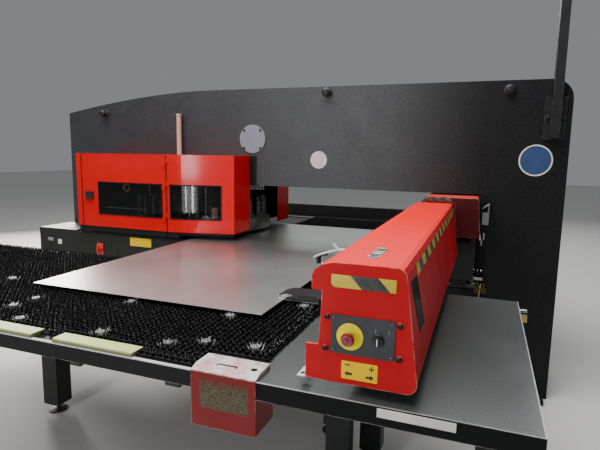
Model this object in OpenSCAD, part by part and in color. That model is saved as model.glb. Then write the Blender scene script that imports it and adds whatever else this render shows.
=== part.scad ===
// Sheet-metal turret punch press with a bridge frame, brush tables and a travelling clamp beam.
// X runs along the bridge, Y runs through it with the sheet, Z is up. The origin is on the floor
// under the middle of the bridge.

/* [Bridge frame] */
// Length of the bridge frame along X
frame_len = 4016; // [3900:10:4300]
// Height of the flat part of the bridge
frame_h = 2095; // [2050:5:2200]
// Height of the bridge at its low left end
frame_left_h = 1934; // [1850:5:2000]
// Thickness of the bridge frame along Y
frame_t = 558; // [500:2:620]
// Underside of the bridge above the floor
throat_top = 1357; // [1356:1:1400]
// Top of the bed under the throat
bed_h = 700; // [640:5:720]
// Left end of the throat
throat_left = -1830; // [-1860:5:-1826]
// Right end of the throat
throat_right = 1555; // [1550:5:1600]
// Where the sloping top of the bridge becomes flat
slope_end = -563; // [-700:10:-400]
// Radius of the upper right corner
corner_r = 125; // [60:5:180]

/* [Pass line and tables] */
// Height of the underside of the sheet
pass_z = 950; // [949:0.5:953]
// Top of the table plates and rims
table_z = 920; // [915:1:925]
// Front edge of the tables, measured from the middle of the bridge
table_reach = 2505; // [2480:5:2600]
// Edge of the tables towards the bridge
table_inner = 1262; // [1200:5:1320]
// Left end of the brush tables
table_left = -1850; // [-1900:5:-1820]
// Seam between the brush tables and the smooth plates
seam_x = 903; // [880:1:930]
// Right end of the tables
table_right = 1715; // [1680:5:1760]
// Depth of the table frames
rim_h = 58; // [50:1:70]
// Side of the square legs
leg_w = 110; // [80:5:120]
// Distance of the legs from the middle of the bridge
leg_y = 1598; // [1500:5:1700]
// Pitch of the brush strips
brush_pitch = 51; // [40:1:70]

/* [Turret] */
// Place of the turret axis on X
turret_x = -810; // [-830:1:-808]
// Radius of both turret discs
turret_r = 600; // [560:2:604]
// Underside of the upper disc
upper_z = 977; // [976:1:982]
// Thickness of the upper disc
upper_t = 108; // [90:2:120]
// Thickness of the lower disc
lower_t = 108; // [90:2:120]
// Radius of the outer track of stations
track_outer = 540; // [530:1:544]
// Radius of the middle track
track_middle = 400; // [385:1:410]
// Radius of the inner track
track_inner = 250; // [240:1:262]

/* [Covers] */
// Thickness of the cover sheets
cover_t = 3; // [2:0.5:4]
// Underside of the turret covers
cover_z0 = 1000; // [990:1:1010]
// Top of the turret covers
cover_z1 = 1585; // [1500:5:1620]
// Left end of the turret covers
cover_left = -1590; // [-1640:5:-1580]
// Seam between the fixed left panel and the door
door_left = -1534; // [-1560:1:-1520]
// Seam between the door and the bent cover
door_right = -726; // [-740:1:-700]
// Right end of the turret covers
cover_right = -206; // [-207:1:-200]
// Distance of the cover front from the middle of the bridge
cover_y = 650; // [640:5:700]
// Distance of the bent cover's corner from the middle of the bridge
corner_y = 540; // [500:5:560]

/* [Clamp beam] */
// Distance of the beam ends from the middle of the bridge
beam_reach = 2475; // [2440:5:2490]
// Top of the beam cover
beam_top = 1307; // [1290:1:1315]
// Underside of the beam cover
beam_z0 = 952; // [951:1:956]
// Left face of the beam cover at its foot
beam_left = 1065; // [1062:1:1070]
// Right edge of the beam cover at its foot
beam_right = 1391; // [1380:1:1400]
// Half length of the middle cover
hood_half = 490; // [440:5:540]
// Top of the middle cover
hood_top = 1346; // [1330:1:1349]

/* [Sheet and clamps] */
// Width of the sheet
sheet_w = 1250; // [800:10:1250]
// Length of the sheet
sheet_l = 2500; // [2000:50:2500]
// Thickness of the sheet
sheet_t = 2; // [1:0.5:3]
// Edge of the sheet that the clamps hold
sheet_edge = 707; // [700:1:712]
// Middle of the carriage along the beam
carriage_y = -764; // [-770:1:-760]
// Distance between neighbouring clamps
clamp_pitch = 930; // [800:10:980]

/* [Hidden] */

$fn = 64;
fit = 0.3;
half_t = frame_t / 2;
frame_x0 = -frame_len / 2;
frame_x1 = frame_len / 2;
charcoal = "#3a3b40";
black = "#17181a";
red = "#c8201c";
steel = "#a9abaa";
dark = "#2b2d2e";

// A block from one corner to the opposite one.
module block(x, y, z) {
    translate([x[0], y[0], z[0]]) cube([x[1] - x[0], y[1] - y[0], z[1] - z[0]]);
}

// An outline drawn in X and Z, stretched from one Y to another.
module slab(y) {
    translate([0, y[1], 0]) rotate([90, 0, 0]) linear_extrude(y[1] - y[0]) children();
}

// A round bar along Y.
module bar_y(x, z, y, d) {
    translate([x, y[1], z]) rotate([90, 0, 0]) cylinder(d = d, h = y[1] - y[0]);
}

// A round bar along X.
module bar_x(y, z, x, d) {
    translate([x[0], y, z]) rotate([0, 90, 0]) cylinder(d = d, h = x[1] - x[0]);
}

// A round bar along Z.
module bar_z(x, y, z, d) {
    translate([x, y, z[0]]) cylinder(d = d, h = z[1] - z[0]);
}

// Copies at the front and at the rear of the bridge.
module both_sides() {
    children();
    mirror([0, 1, 0]) children();
}

// Bridge frame

// Height of the bridge's top edge left of where it becomes flat.
function crown(x) = frame_h - (frame_h - frame_left_h) * pow((slope_end - x) / (slope_end - frame_x0), 1.7);
crown_steps = 10;
access_x = -182;
access_z = frame_h - 379;
access_d = 217;
access_screw_r = 98;
stud_places = [[418, frame_h - 45], [1639, frame_h - 61], [-1599, crown(-1599) - 80]];
stud_d = 30;
ram_x = turret_x + (track_inner + track_outer) / 2;
ram_d = 150;
ram_bore_h = 330;

module frame_outline() {
    polygon(concat(
        [for (i = [0:crown_steps]) let (x = frame_x0 + (slope_end - frame_x0) * i / crown_steps) [x,
            crown(x)]],
        [for (a = [90:-15:0]) [frame_x1 - corner_r + corner_r * cos(a),
            frame_h - corner_r + corner_r * sin(a)]],
        [[frame_x1, 0], [frame_x0, 0]]));
}

module throat_outline() {
    r = 40;
    hull() for (x = [throat_left + r, throat_right - r]) for (z = [bed_h + r, throat_top - r])
        translate([x, z]) circle(r, $fn = 24);
}

anchor_x = 1880;
anchor_y = half_t + 60;
anchor_d = 27;
anchor_t = 30;
module bridge_frame() {
    color(charcoal) difference() {
        union() {
            slab([-half_t, half_t]) difference() {
                frame_outline();
                throat_outline();
            }
            for (s = [-1, 1])
                block([s * anchor_x - 100, s * anchor_x + 100], [-anchor_y - 50, anchor_y + 50],
                    [0, anchor_t]);
        }
        for (s = [-1, 1]) for (t = [-1, 1]) bar_z(s * anchor_x, t * anchor_y, [-1, anchor_t + 1], anchor_d);
        bar_y(access_x, access_z, [-half_t - 1, -half_t + 60], access_d - 40);
        for (p = stud_places) both_sides() bar_y(p[0], p[1], [-half_t - 1, -half_t + 40], stud_d);
        bar_z(ram_x, 0, [throat_top - 1, throat_top + ram_bore_h], ram_d + shaft_fit);
    }
}

// A turned lifting stud with a ball head, screwed into the frame's face near its top edge.
module lifting_studs() {
    color(black) both_sides() for (p = stud_places)
        translate([p[0], -half_t + 38, p[1]]) rotate([90, 0, 0]) rotate_extrude()
            polygon([[0, 0], [stud_d / 2 - fit, 0], [stud_d / 2 - fit, 38 + fit], [34, 38 + fit], [34, 48],
                [19, 52], [19, 62], [28, 70], [31, 82], [28, 94], [18, 101], [0, 104]]);
}

// Round plate over the crank bore, held by four screws.
module access_cover() {
    color("#b9bcc4") {
        bar_y(access_x, access_z, [-half_t - 8 - fit, -half_t - fit], access_d);
        for (a = [45:90:315])
            bar_y(access_x + access_screw_r * cos(a), access_z + access_screw_r * sin(a),
                [-half_t - 14 - fit, -half_t - 8 - fit], 14);
    }
}

mast_w = 54;
mast_x = 1912;
mast_z = [frame_h - 362, frame_h + 595];
mast_gap = 18;
module mast() {
    y1 = -half_t - mast_gap;
    color(dark) difference() {
        block([mast_x - mast_w / 2, mast_x + mast_w / 2], [y1 - mast_w, y1], mast_z);
        block([mast_x - mast_w / 2 + 4, mast_x + mast_w / 2 - 4], [y1 - mast_w + 4, y1 - 4],
            [mast_z[0] - 1, mast_z[1] - 4]);
    }
}

// A plate behind the mast with two clamping bolts.
module mast_bracket() {
    y1 = -half_t - fit;
    y0 = -half_t - mast_gap + fit;
    color(black) {
        block([mast_x - 62, mast_x + 62], [y0, y1], [mast_z[0] - 12, mast_z[0] + 250]);
        for (s = [-1, 1]) bar_y(mast_x + s * 45, mast_z[0] + 124, [y0 - 14, y0], 22);
    }
}

pipe_x = -826;
pipe_y = -half_t - 40;
pipe_top = cover_z1 + 327;
pipe_d = 38;
module breather_pipe() {
    color("#b98f73") {
        bar_z(pipe_x, pipe_y, [cover_z1 + fit, pipe_top - 16], pipe_d);
        bar_z(pipe_x, pipe_y, [pipe_top - 16, pipe_top], pipe_d + 6);
    }
}

// Turret

station_step_outer = 360 / 28;
station_step_middle = 360 / 16;
station_step_inner = 360 / 8;
bore_outer = 54;
bore_middle = 86;
bore_inner = 112;
upper_top = upper_z + upper_t;
die_top = pass_z - 7;
lower_top = die_top - 18;
lower_z = lower_top - lower_t;
hub_d = 260;
post_d = 140;
hub_top = throat_top - 20;

// Every station of one track.
module track(radius, step, phase) {
    for (a = [phase:step:phase + 359]) translate([turret_x + radius * cos(a), radius * sin(a), 0]) children();
}

module stations(z, extra) {
    track(track_outer, station_step_outer, 0) translate([0, 0, z[0]])
        cylinder(d = bore_outer + extra, h = z[1] - z[0]);
    track(track_middle, station_step_middle, 0) translate([0, 0, z[0]])
        cylinder(d = bore_middle + extra, h = z[1] - z[0]);
    track(track_inner, station_step_inner, 0) translate([0, 0, z[0]])
        cylinder(d = bore_inner + extra, h = z[1] - z[0]);
}

module turret_post_upper() {
    color(steel) {
        bar_z(turret_x, 0, [upper_top - 60, throat_top - fit], post_d);
        bar_z(turret_x, 0, [hub_top + fit, throat_top - fit], hub_d + 60);
    }
}

module upper_turret() {
    color(steel) difference() {
        union() {
            bar_z(turret_x, 0, [upper_z, upper_top], 2 * turret_r);
            bar_z(turret_x, 0, [upper_top - 1, hub_top], hub_d);
        }
        bar_z(turret_x, 0, [upper_top - 61, hub_top + 1], post_d + shaft_fit);
        stations([upper_z - 1, upper_top + 1], 0);
    }
}

// A punch holder: guide body in the bore, collar on the disc, spring cage and striking head.
module punch_holder(d, collar, top) {
    rotate_extrude() polygon([[0, 0], [d / 2 - fit, 0], [d / 2 - fit, upper_t - 1], [collar / 2, upper_t - 1],
        [collar / 2, upper_t + 22], [d / 2 - 5, upper_t + 26], [d / 2 - 5, top - 62], [d / 2, top - 58],
        [d / 2, top - 40], [d / 4, top - 36], [d / 4, top - 14], [d / 2 - 2, top - 10], [d / 2 - 2, top],
            [0, top]]);
}

module punch_holders() {
    seat = upper_z + 1 + fit;
    color("#d3d6d8") {
        track(track_outer, station_step_outer, 0) translate([0, 0, seat])
            punch_holder(bore_outer, bore_outer + 14, 262, $fn = 24);
        track(track_middle, station_step_middle, 0) translate([0, 0, seat])
            punch_holder(bore_middle, bore_middle + 14, 262, $fn = 24);
        track(track_inner, station_step_inner, 0) translate([0, 0, seat])
            punch_holder(bore_inner, bore_inner + 14, 262, $fn = 24);
    }
}

module turret_post_lower() {
    color(steel) {
        bar_z(turret_x, 0, [bed_h + fit, lower_z - fit], hub_d + 60);
        bar_z(turret_x, 0, [lower_z - fit, lower_z + 60], post_d);
    }
}

module lower_turret() {
    color(steel) difference() {
        bar_z(turret_x, 0, [lower_z, lower_top], 2 * turret_r);
        bar_z(turret_x, 0, [lower_z - 1, lower_z + 61], post_d + shaft_fit);
        stations([lower_z + 40, lower_top + 1], 20);
    }
}

// A die ring standing in its pocket, with the slug hole through it.
module die(d) {
    rotate_extrude() polygon([[d / 5, 0], [d / 2 - fit, 0], [d / 2 - fit, die_top - lower_z - 41 - fit],
        [d / 2 - 3, die_top - lower_z - 40 - fit], [d / 5, die_top - lower_z - 40 - fit]]);
}

module dies() {
    seat = lower_z + 40 + fit;
    color("#c3c6c8") {
        track(track_outer, station_step_outer, 0) translate([0, 0, seat]) die(bore_outer + 20, $fn = 24);
        track(track_middle, station_step_middle, 0) translate([0, 0, seat]) die(bore_middle + 20, $fn = 24);
        track(track_inner, station_step_inner, 0) translate([0, 0, seat]) die(bore_inner + 20, $fn = 24);
    }
}

// Ram and striker over the line of the tracks

ram_stroke = 36;
punch_top = upper_z + 1 + fit + 262;
striker_z0 = punch_top + ram_stroke + 2;
striker_h = 36;
housing_z = throat_top - 12;
module ram_housing() {
    color(charcoal) difference() {
        block([ram_x - 130, ram_x + 130], [-150, 150], [housing_z, throat_top - fit]);
        bar_z(ram_x, 0, [housing_z - 1, throat_top + 1], ram_d + shaft_fit);
    }
}

module ram() {
    color(steel) difference() {
        union() {
            bar_z(ram_x, 0, [striker_z0 + striker_h, throat_top + ram_bore_h - 40], ram_d);
            block([ram_x - foot_half, ram_x + foot_half], [-40, 40],
                [striker_z0 + striker_h - 12, housing_z - 2]);
        }
        slab_x([ram_x - foot_half - 1, ram_x + foot_half + 1]) tee(0);
    }
}

// Section of the slot in the ram's foot, and of the striker's head with a clearance.
module tee(gap) {
    z = striker_z0 + striker_h;
    polygon([[-14 + gap, z - 20], [14 - gap, z - 20], [14 - gap, z + gap], [24 - gap, z + gap],
        [24 - gap, z + 12 - gap], [-24 + gap, z + 12 - gap], [-24 + gap, z + gap], [-14 + gap, z + gap]]);
}

striker_travel = (track_outer - track_inner) / 2;
striker_half = 32;
foot_half = striker_travel + striker_half + 8;
module striker() {
    color("#8d9093") {
        bar_z(ram_x, 0, [striker_z0, striker_z0 + striker_h - 14], 2 * striker_half);
        slab_x([ram_x - striker_half, ram_x + striker_half]) tee(fit);
    }
}

// Turret covers

bend_r = 600;
bend_angle = 12;
window_z = [1103, 1360];
door_window_x = [-1370, -764];
hinge_x = door_right - 9;
hinge_z = [1080, 1320, 1490];
hinge_h = 30;
hinge_d = 10;
pin_d = 5;
hinge_y = -cover_y - hinge_d / 2 - fit;
// Points of the bent cover's outer line, from the door seam round the bend to the corner.
function bent_line(inset) = concat(
    [for (i = [0:4]) let (a = bend_angle * i / 4)
        [door_right + fit + (bend_r - inset) * sin(a), -cover_y + bend_r - (bend_r - inset) * cos(a)]],
    [[cover_right - inset, -corner_y + inset * 0.8]]);

module bent_shell(z) {
    translate([0, 0, z[0]]) linear_extrude(z[1] - z[0]) polygon(concat(
        bent_line(0), [[cover_right, -half_t - fit], [cover_right - cover_t, -half_t - fit]],
        [for (i = [len(bent_line(0)) - 1:-1:0]) bent_line(cover_t)[i]]));
}

bent_window_x = [-690, -295];
module bent_opening(grow) {
    block([bent_window_x[0] - grow, bent_window_x[1] + grow], [-cover_y - 20, -half_t - 120],
        [window_z[0] - grow, window_z[1] + grow]);
}

// Fixed part of the front cover: left panel, left end, top and the bent sheet with its window hole.
module cover_body(windows) {
    difference() {
        bent_shell([cover_z0, cover_z1]);
        if (windows) bent_opening(0);
    }
    translate([0, 0, cover_z1 - cover_t]) linear_extrude(cover_t) polygon(concat(
        [[cover_left, -half_t - fit], [cover_left, -cover_y], [door_right, -cover_y]],
        bent_line(0), [[cover_right, -half_t - fit]]));
    block([cover_left, cover_left + cover_t], [-cover_y, -half_t - fit], [cover_z0, cover_z1]);
    block([cover_left, door_left - 2], [-cover_y, -cover_y + cover_t], [cover_z0, cover_z1]);
}

module turret_cover_front() {
    color(red) {
        cover_body(true);
        block([door_right - 25, door_right - 2], [-cover_y + cover_t + 4, -cover_y + 2 * cover_t + 4],
            [cover_z0, cover_z1]);
        block([door_right - 25, door_right + 6], [-cover_y + cover_t + 4, -cover_y + 2 * cover_t + 4],
            [cover_z1 - 20, cover_z1]);
        for (z = hinge_z) {
            bar_z(hinge_x, hinge_y, [z + hinge_h + fit, z + 2 * hinge_h], hinge_d);
            bar_z(hinge_x, hinge_y, [z, z + hinge_h + 1], pin_d);
            block([hinge_x, door_right + 24], [-cover_y - 4, -cover_y - fit],
                [z + hinge_h + fit, z + 2 * hinge_h]);
            block([door_right + 3, door_right + 24], [-cover_y - 4, -cover_y + 0.8],
                [z + hinge_h + fit, z + 2 * hinge_h]);
        }
    }
}

module turret_cover_rear() {
    color(red) mirror([0, 1, 0]) {
        cover_body(false);
        block([door_left - 4, door_right + 2], [-cover_y, -cover_y + cover_t], [cover_z0, cover_z1]);
    }
}

module turret_door() {
    color(red) difference() {
        union() {
            block([door_left, door_right - 2], [-cover_y, -cover_y + cover_t],
                [cover_z0, cover_z1 - cover_t - 2]);
            for (z = hinge_z) {
                bar_z(hinge_x, hinge_y, [z, z + hinge_h], hinge_d);
                block([hinge_x - 30, hinge_x], [-cover_y - 4, -cover_y + 0.5], [z, z + hinge_h]);
            }
        }
        for (z = hinge_z) bar_z(hinge_x, hinge_y, [z - 1, z + hinge_h + 1], pin_d + shaft_fit);
        block(door_window_x, [-cover_y - 1, -cover_y + cover_t + 1], window_z);
        bar_y(latch_x, latch_z, [-cover_y - 1, -cover_y + cover_t + 1], 30);
    }
}

module door_window() {
    color("#3b4044") block([door_window_x[0] - 10, door_window_x[1] + 10],
        [-cover_y + cover_t + fit, -cover_y + cover_t + 4], [window_z[0] - 10, window_z[1] + 10]);
}

module bent_window() {
    color("#3b4044") intersection() {
        translate([0, 0, window_z[0] - 12]) linear_extrude(window_z[1] - window_z[0] + 24) polygon(concat(
            [for (i = [0:5]) bent_line(cover_t + 0.4)[i]], [for (i = [5:-1:0]) bent_line(cover_t + 4)[i]]));
        bent_opening(12);
    }
}

latch_x = -1461;
latch_z = 1250;
// Quarter-turn latch: a square grip outside and a tongue inside the door.
module door_latch() {
    color(black) {
        block([latch_x - 36, latch_x + 36], [-cover_y - 14, -cover_y - fit], [latch_z - 30, latch_z + 30]);
        bar_y(latch_x, latch_z, [-cover_y - 1, -cover_y + 20], 30 - shaft_fit);
        block([latch_x - 10, latch_x + 10], [-cover_y + 12, -cover_y + 16], [latch_z - 96, latch_z + 10]);
    }
}

// Base cabinets in front of and behind the bed

cabinet_left = -2230;
cabinet_right = -190;
cabinet_y = 620;
cabinet_z = [60, 930];
cabinet_seams = [-1289, -727];
module base_cabinet() {
    difference() {
        block([cabinet_left, cabinet_right], [-cabinet_y, -half_t - fit], cabinet_z);
        block([cabinet_left + cover_t, cabinet_right - cover_t], [-cabinet_y + cover_t, -half_t],
            [cabinet_z[0] + cover_t, cabinet_z[1] - 3]);
        bar_z(turret_x, 0, [cabinet_z[1] - 4, cabinet_z[1] + 1], 2 * turret_r + 20);
        for (x = cabinet_seams)
            block([x - 2, x + 2], [-cabinet_y - 1, -cabinet_y + 1.5], [cabinet_z[0] + 20, cabinet_z[1] - 12]);
        for (x = [cabinet_left + 60, cabinet_seams[0] + 60, cabinet_seams[1] + 60])
            block([x - 5, x + 5], [-cabinet_y - 1, -cabinet_y + cover_t + 1],
                [cabinet_z[1] - 160, cabinet_z[1] - 110]);
    }
    block([cabinet_left + 40, cabinet_right - 40], [-cabinet_y + 60, -anchor_y - 70], [0, cabinet_z[0]]);
}

module base_cabinet_front() {
    color(dark) difference() {
        base_cabinet();
        bar_y(switch_x, switch_z, [-cabinet_y - 1, -cabinet_y + cover_t + 1], 16);
    }
}

module base_cabinet_rear() {
    color(dark) mirror([0, 1, 0]) base_cabinet();
}

switch_x = -1406;
switch_z = 803;
module mains_switch_plate() {
    color(red) difference() {
        block([switch_x - 32, switch_x + 32], [-cabinet_y - 3 - fit, -cabinet_y - fit],
            [switch_z - 52, switch_z + 52]);
        bar_y(switch_x, switch_z, [-cabinet_y - 5, -cabinet_y + 1], 16);
    }
}

module mains_switch_knob() {
    color("#b01815") {
        bar_y(switch_x, switch_z, [-cabinet_y - 22, -cabinet_y - 3.6], 44);
        block([switch_x - 6, switch_x + 6], [-cabinet_y - 36, -cabinet_y - 20],
            [switch_z - 26, switch_z + 26]);
        bar_y(switch_x, switch_z, [-cabinet_y - 5, -cabinet_y + 16], 16 - shaft_fit);
    }
}

// Tables

brush_back = 1370;
rim_w = 40;
table_plate_t = 4;
brush_h = die_top - table_z - fit;
field_front = -table_reach + 150;
// A folded table frame: a rim all round, a thin deck and stiffeners below.
module table_frame(x, y) {
    z0 = table_z - rim_h;
    difference() {
        block(x, y, [z0, table_z]);
        block([x[0] + 4, x[1] - 4], [y[0] + 4, y[1] - 4], [z0 - 1, table_z - table_plate_t]);
    }
    for (i = [1:3]) let (cx = x[0] + (x[1] - x[0]) * i / 4)
        block([cx - 20, cx + 20], [y[0] + 3, y[1] - 3], [z0, table_z - table_plate_t + 1]);
}

module table_brush_front() {
    color(dark) table_frame([table_left, seam_x - 4], [-table_reach, -table_inner]);
}

module table_brush_rear() {
    color(dark) mirror([0, 1, 0]) table_frame([table_left, seam_x - 4], [-table_reach, -table_inner]);
}

module table_plate_front() {
    color("#4a4d4e") table_frame([seam_x, table_right], [-table_reach, -table_inner]);
}

module table_plate_rear() {
    color("#4a4d4e") mirror([0, 1, 0]) table_frame([seam_x, table_right], [-table_reach, -table_inner]);
}

// One brush strip: a low holder with a tapered row of bristles.
module brush_strip(x, y) {
    w = brush_pitch - 12;
    translate([x[0], y, table_z + fit]) rotate([90, 0, 90]) linear_extrude(x[1] - x[0])
        polygon([[-w / 2, 0], [w / 2, 0], [w / 2, 6], [w / 2 - 4, 7], [w / 2 - 7, brush_h],
            [-w / 2 + 7, brush_h], [-w / 2 + 4, 7], [-w / 2, 6]]);
}

strip_x = [[-383, 2], [104, 455]];
strip_w = 42;
module brush_field(x, y) {
    n = floor((y[1] - y[0]) / brush_pitch);
    for (i = [0:n - 1]) brush_strip(x, y[0] + brush_pitch * (i + 0.5));
}

centre_x = [cabinet_right + 10, seam_x - 4];
centre_y = [-table_inner + fit, -440];
bracket_x = [120, 620];
module centre_field() {
    brush_field([centre_x[0] + 10, centre_x[1] - 8], [centre_y[0] + 10, centre_y[1] - 10]);
}

module brushes_front() {
    color(black) {
        brush_field([table_left + rim_w, seam_x - 12], [field_front, -brush_back]);
        brush_field([table_left + rim_w, box_x[0] - 10], [field_front - 2 * brush_pitch, field_front]);
        centre_field();
    }
}

module brushes_rear() {
    color(black) mirror([0, 1, 0]) {
        brush_field([table_left + rim_w, seam_x - 12], [-table_reach + 60, -brush_back]);
        centre_field();
    }
}

module centre_tables() {
    color(dark) both_sides() {
        table_frame(centre_x, centre_y);
        for (x = bracket_x) {
            block([x - 20, x + 20], [centre_y[1] - 44, -half_t - fit], [bed_h - 70, bed_h - 20]);
            block([x - 20, x + 20], [centre_y[1] - 44, centre_y[1] - 2],
                [bed_h - 70, table_z - table_plate_t + 1]);
        }
    }
}

leg_x = [-881, 940, 1620];
foot_h = 55;
deck_under = table_z - table_plate_t - fit;
rim_under = table_z - rim_h - fit;
leg_top = [deck_under, rim_under, deck_under];
centre_legs = [for (x = [centre_x[0] + 90, centre_x[1] - 120]) [x, -table_inner + 80]];
inner_leg = [1048, -table_inner - 68];
module table_legs() {
    color(dark) {
        both_sides() for (i = [0:2]) let (x = leg_x[i]) difference() {
            block([x - leg_w / 2, x + leg_w / 2], [-leg_y - leg_w / 2, -leg_y + leg_w / 2],
                [foot_h, leg_top[i]]);
            bar_z(x, -leg_y, [foot_h - 1, foot_h + 60], 20 + 2 * fit);
        }
        both_sides() difference() {
            block([inner_leg[0] - leg_w / 2, inner_leg[0] + leg_w / 2],
                [inner_leg[1] - leg_w / 2, inner_leg[1] + leg_w / 2], [foot_h, rim_under]);
            bar_z(inner_leg[0], inner_leg[1], [foot_h - 1, foot_h + 60], 20 + 2 * fit);
        }
        both_sides() for (p = centre_legs) difference() {
            block([p[0] - 40, p[0] + 40], [p[1] - 40, p[1] + 40], [foot_h, deck_under]);
            bar_z(p[0], p[1], [foot_h - 1, foot_h + 60], 20 + 2 * fit);
        }
    }
}

// A levelling screw with its round pad and lock nut.
module foot() {
    rotate_extrude()
        polygon([[0, 0], [55, 0], [55, 6], [20, 14], [10, 16], [10, foot_h - 14], [16, foot_h - 14],
        [16, foot_h - fit], [10, foot_h - fit], [10, foot_h + 50], [0, foot_h + 50]]);
}

module table_feet() {
    color(black) both_sides() {
        for (x = leg_x) translate([x, -leg_y, 0]) foot();
        for (p = concat([inner_leg], centre_legs)) translate([p[0], p[1], 0]) foot();
    }
}

module edge_strips() {
    color("#c9d79a") for (x = strip_x) hull() {
        block(x, [-table_reach + 6, -table_reach + 6 + strip_w], [table_z + fit, table_z + 10]);
        block([x[0] + 3, x[1] - 3], [-table_reach + 10, -table_reach + 2 + strip_w],
            [table_z + fit, table_z + 15]);
    }
}

// Folded guard over the front edge, with a slot and a hole in its worn top.
box_x = [690, 918];
box_t = 3;
box_z = [739, table_z + 15];
box_y = [-table_reach - box_t - fit, -table_reach + 132];
box_slope = 32;
module guard_box() {
    rim = table_z - rim_h - fit;
    color(red) difference() {
        union() {
            slab_x(box_x) polygon([[box_y[0], box_z[0]], [box_y[0] + box_t, box_z[0]],
                [box_y[0] + box_t, table_z + fit], [box_y[1] - 24, table_z + fit], [box_y[1] - 24, box_z[1]],
                [box_y[0] + box_slope, box_z[1]], [box_y[0] + 2, table_z + 4], [box_y[0], table_z + 1]]);
            for (x = [box_x[0], box_x[1] - box_t])
                block([x, x + box_t], [box_y[0], box_y[1]], [box_z[0], rim]);
        }
        block([box_x[0] + 72, box_x[0] + 144], [box_y[0] + 46, box_y[0] + 50], [box_z[1] - 4, box_z[1] + 1]);
        for (x = [box_x[0] + 72, box_x[0] + 141])
            block([x, x + 3], [box_y[0] + 34, box_y[0] + 49], [box_z[1] - 4, box_z[1] + 1]);
        bar_z(box_x[1] - 28, box_y[0] + 50, [box_z[1] - 8, box_z[1] + 1], 22);
    }
}

// Y drive on the bed

rail_y = 225;
rail_x = [-190, throat_right - 45];
rail_h = 34;
saddle_x = [1104, 1490];
screw_z = bed_h + 62;
module y_rails() {
    color(steel) for (s = [-1, 1]) slab_x(rail_x) translate([s * rail_y, bed_h + fit])
        polygon([[-22, 0], [22, 0], [22, 8], [14, 14], [14, 22], [22, rail_h - 6], [18, rail_h],
            [-18, rail_h], [-22, rail_h - 6], [-14, 22], [-14, 14], [-22, 8]]);
}

// An outline drawn in Y and Z, stretched from one X to another.
module slab_x(x) {
    translate([x[0], 0, 0]) rotate([90, 0, 90]) linear_extrude(x[1] - x[0]) children();
}

module y_screw() {
    color(steel) {
        bar_x(0, screw_z, [rail_x[0] + 8, throat_right - 12], 30);
        bar_x(0, screw_z, [rail_x[0] + 40, 1496], 44);
        bar_x(0, screw_z, [1520, 1538], 96);
    }
}

module y_bearings() {
    color(charcoal) for (x = [[rail_x[0] + 2, rail_x[0] + 36], [1499, 1517]]) difference() {
        block(x, [-55, 55], [bed_h + fit, screw_z + 36]);
        bar_x(0, screw_z, [x[0] - 1, x[1] + 1], 30 + shaft_fit);
    }
}

motor_y = 530;
shaft_d = 28;
shaft_fit = 0.1;
module y_motor() {
    color(black) difference() { union() {
        block([1300, 1500], [motor_y - 70, motor_y + 70], [screw_z - 70, screw_z + 70]);
        block([1499, 1512], [motor_y - 50, motor_y + 50], [screw_z - 50, screw_z + 50]);
        block([1340, 1480], [half_t + fit, motor_y + 60], [screw_z - 84, screw_z - 69]);
        block([1340, 1480], [half_t + fit, half_t + 14], [screw_z - 240, screw_z - 70]);
        }
        bar_x(motor_y, screw_z, [1470, 1513], shaft_d);
    }
}

module y_motor_pulley() {
    color(steel) {
        bar_x(motor_y, screw_z, [1471, 1540], shaft_d - shaft_fit);
        bar_x(motor_y, screw_z, [1520, 1538], 60);
    }
}

// Toothed belt from the motor to the screw.
module y_belt() {
    color(black) slab_x([1522, 1536]) difference() {
        hull() {
            translate([0, screw_z]) circle(48 + 4 + fit, $fn = 32);
            translate([motor_y, screw_z]) circle(30 + 4 + fit, $fn = 32);
        }
        hull() {
            translate([0, screw_z]) circle(48 + fit, $fn = 32);
            translate([motor_y, screw_z]) circle(30 + fit, $fn = 32);
        }
    }
}

saddle_half = 420;
saddle_z = [bed_h + 100, 1048];
// Carriage base: a deck with its rail blocks, the screw nut and the cheeks that carry the beam.
module saddle() {
    color(dark) difference() {
        union() {
            block(saddle_x, [-saddle_half, saddle_half], [saddle_z[0], saddle_z[0] + 60]);
            block([beam_x[1] + 1, saddle_x[1]], [-saddle_half, saddle_half], [saddle_z[0] + 59, saddle_z[1]]);
            for (s = [-1, 1]) for (x = [saddle_x[0] + 40, saddle_x[1] - 140])
                block([x, x + 100], [s * rail_y - 44, s * rail_y + 44], [bed_h + 18, saddle_z[0] + 1]);
            block([1250, 1330], [-46, 46], [screw_z - 38, saddle_z[0] + 1]);
        }
        for (s = [-1, 1])
            block([saddle_x[0] + 1, saddle_x[1] + 1], [s * rail_y - 24, s * rail_y + 24],
                [bed_h + 17, bed_h + rail_h + 1.5]);
        bar_x(0, screw_z, [1249, 1331], 44 + shaft_fit);
        for (s = [-1, 1])
            block([beam_x[1] + 30, saddle_x[1] + 1], [s * 210 - 130, s * 210 + 130],
                [saddle_z[0] + 90, saddle_z[1] - 30]);
    }
}

// Clamp beam and X drive

beam_x = [1180, 1330];
beam_z = [saddle_z[0] + 60 + fit, 1240];
beam_half = beam_reach - 25;
beam_cell = 480;
// Hollow box beam with lightening windows in its right wall.
module beam() {
    color(charcoal) difference() {
        union() {
            block(beam_x, [-beam_half, beam_half], [beam_z0 + 20, beam_z[1]]);
            block(beam_x, [-saddle_half, saddle_half], [beam_z[0], beam_z0 + 21]);
        }
        block([beam_x[0] + 12, beam_x[1] - 12], [-beam_half - 1, beam_half + 1],
            [beam_z0 + 32, beam_z[1] - 12]);
        for (s = [-1, 1]) for (i = [0:3]) let (y = s * (saddle_half + 260 + beam_cell * i))
            bar_x(y, (beam_z0 + beam_z[1]) / 2 + 10, [beam_x[1] - 13, beam_x[1] + 1], 150);
    }
}

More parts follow.
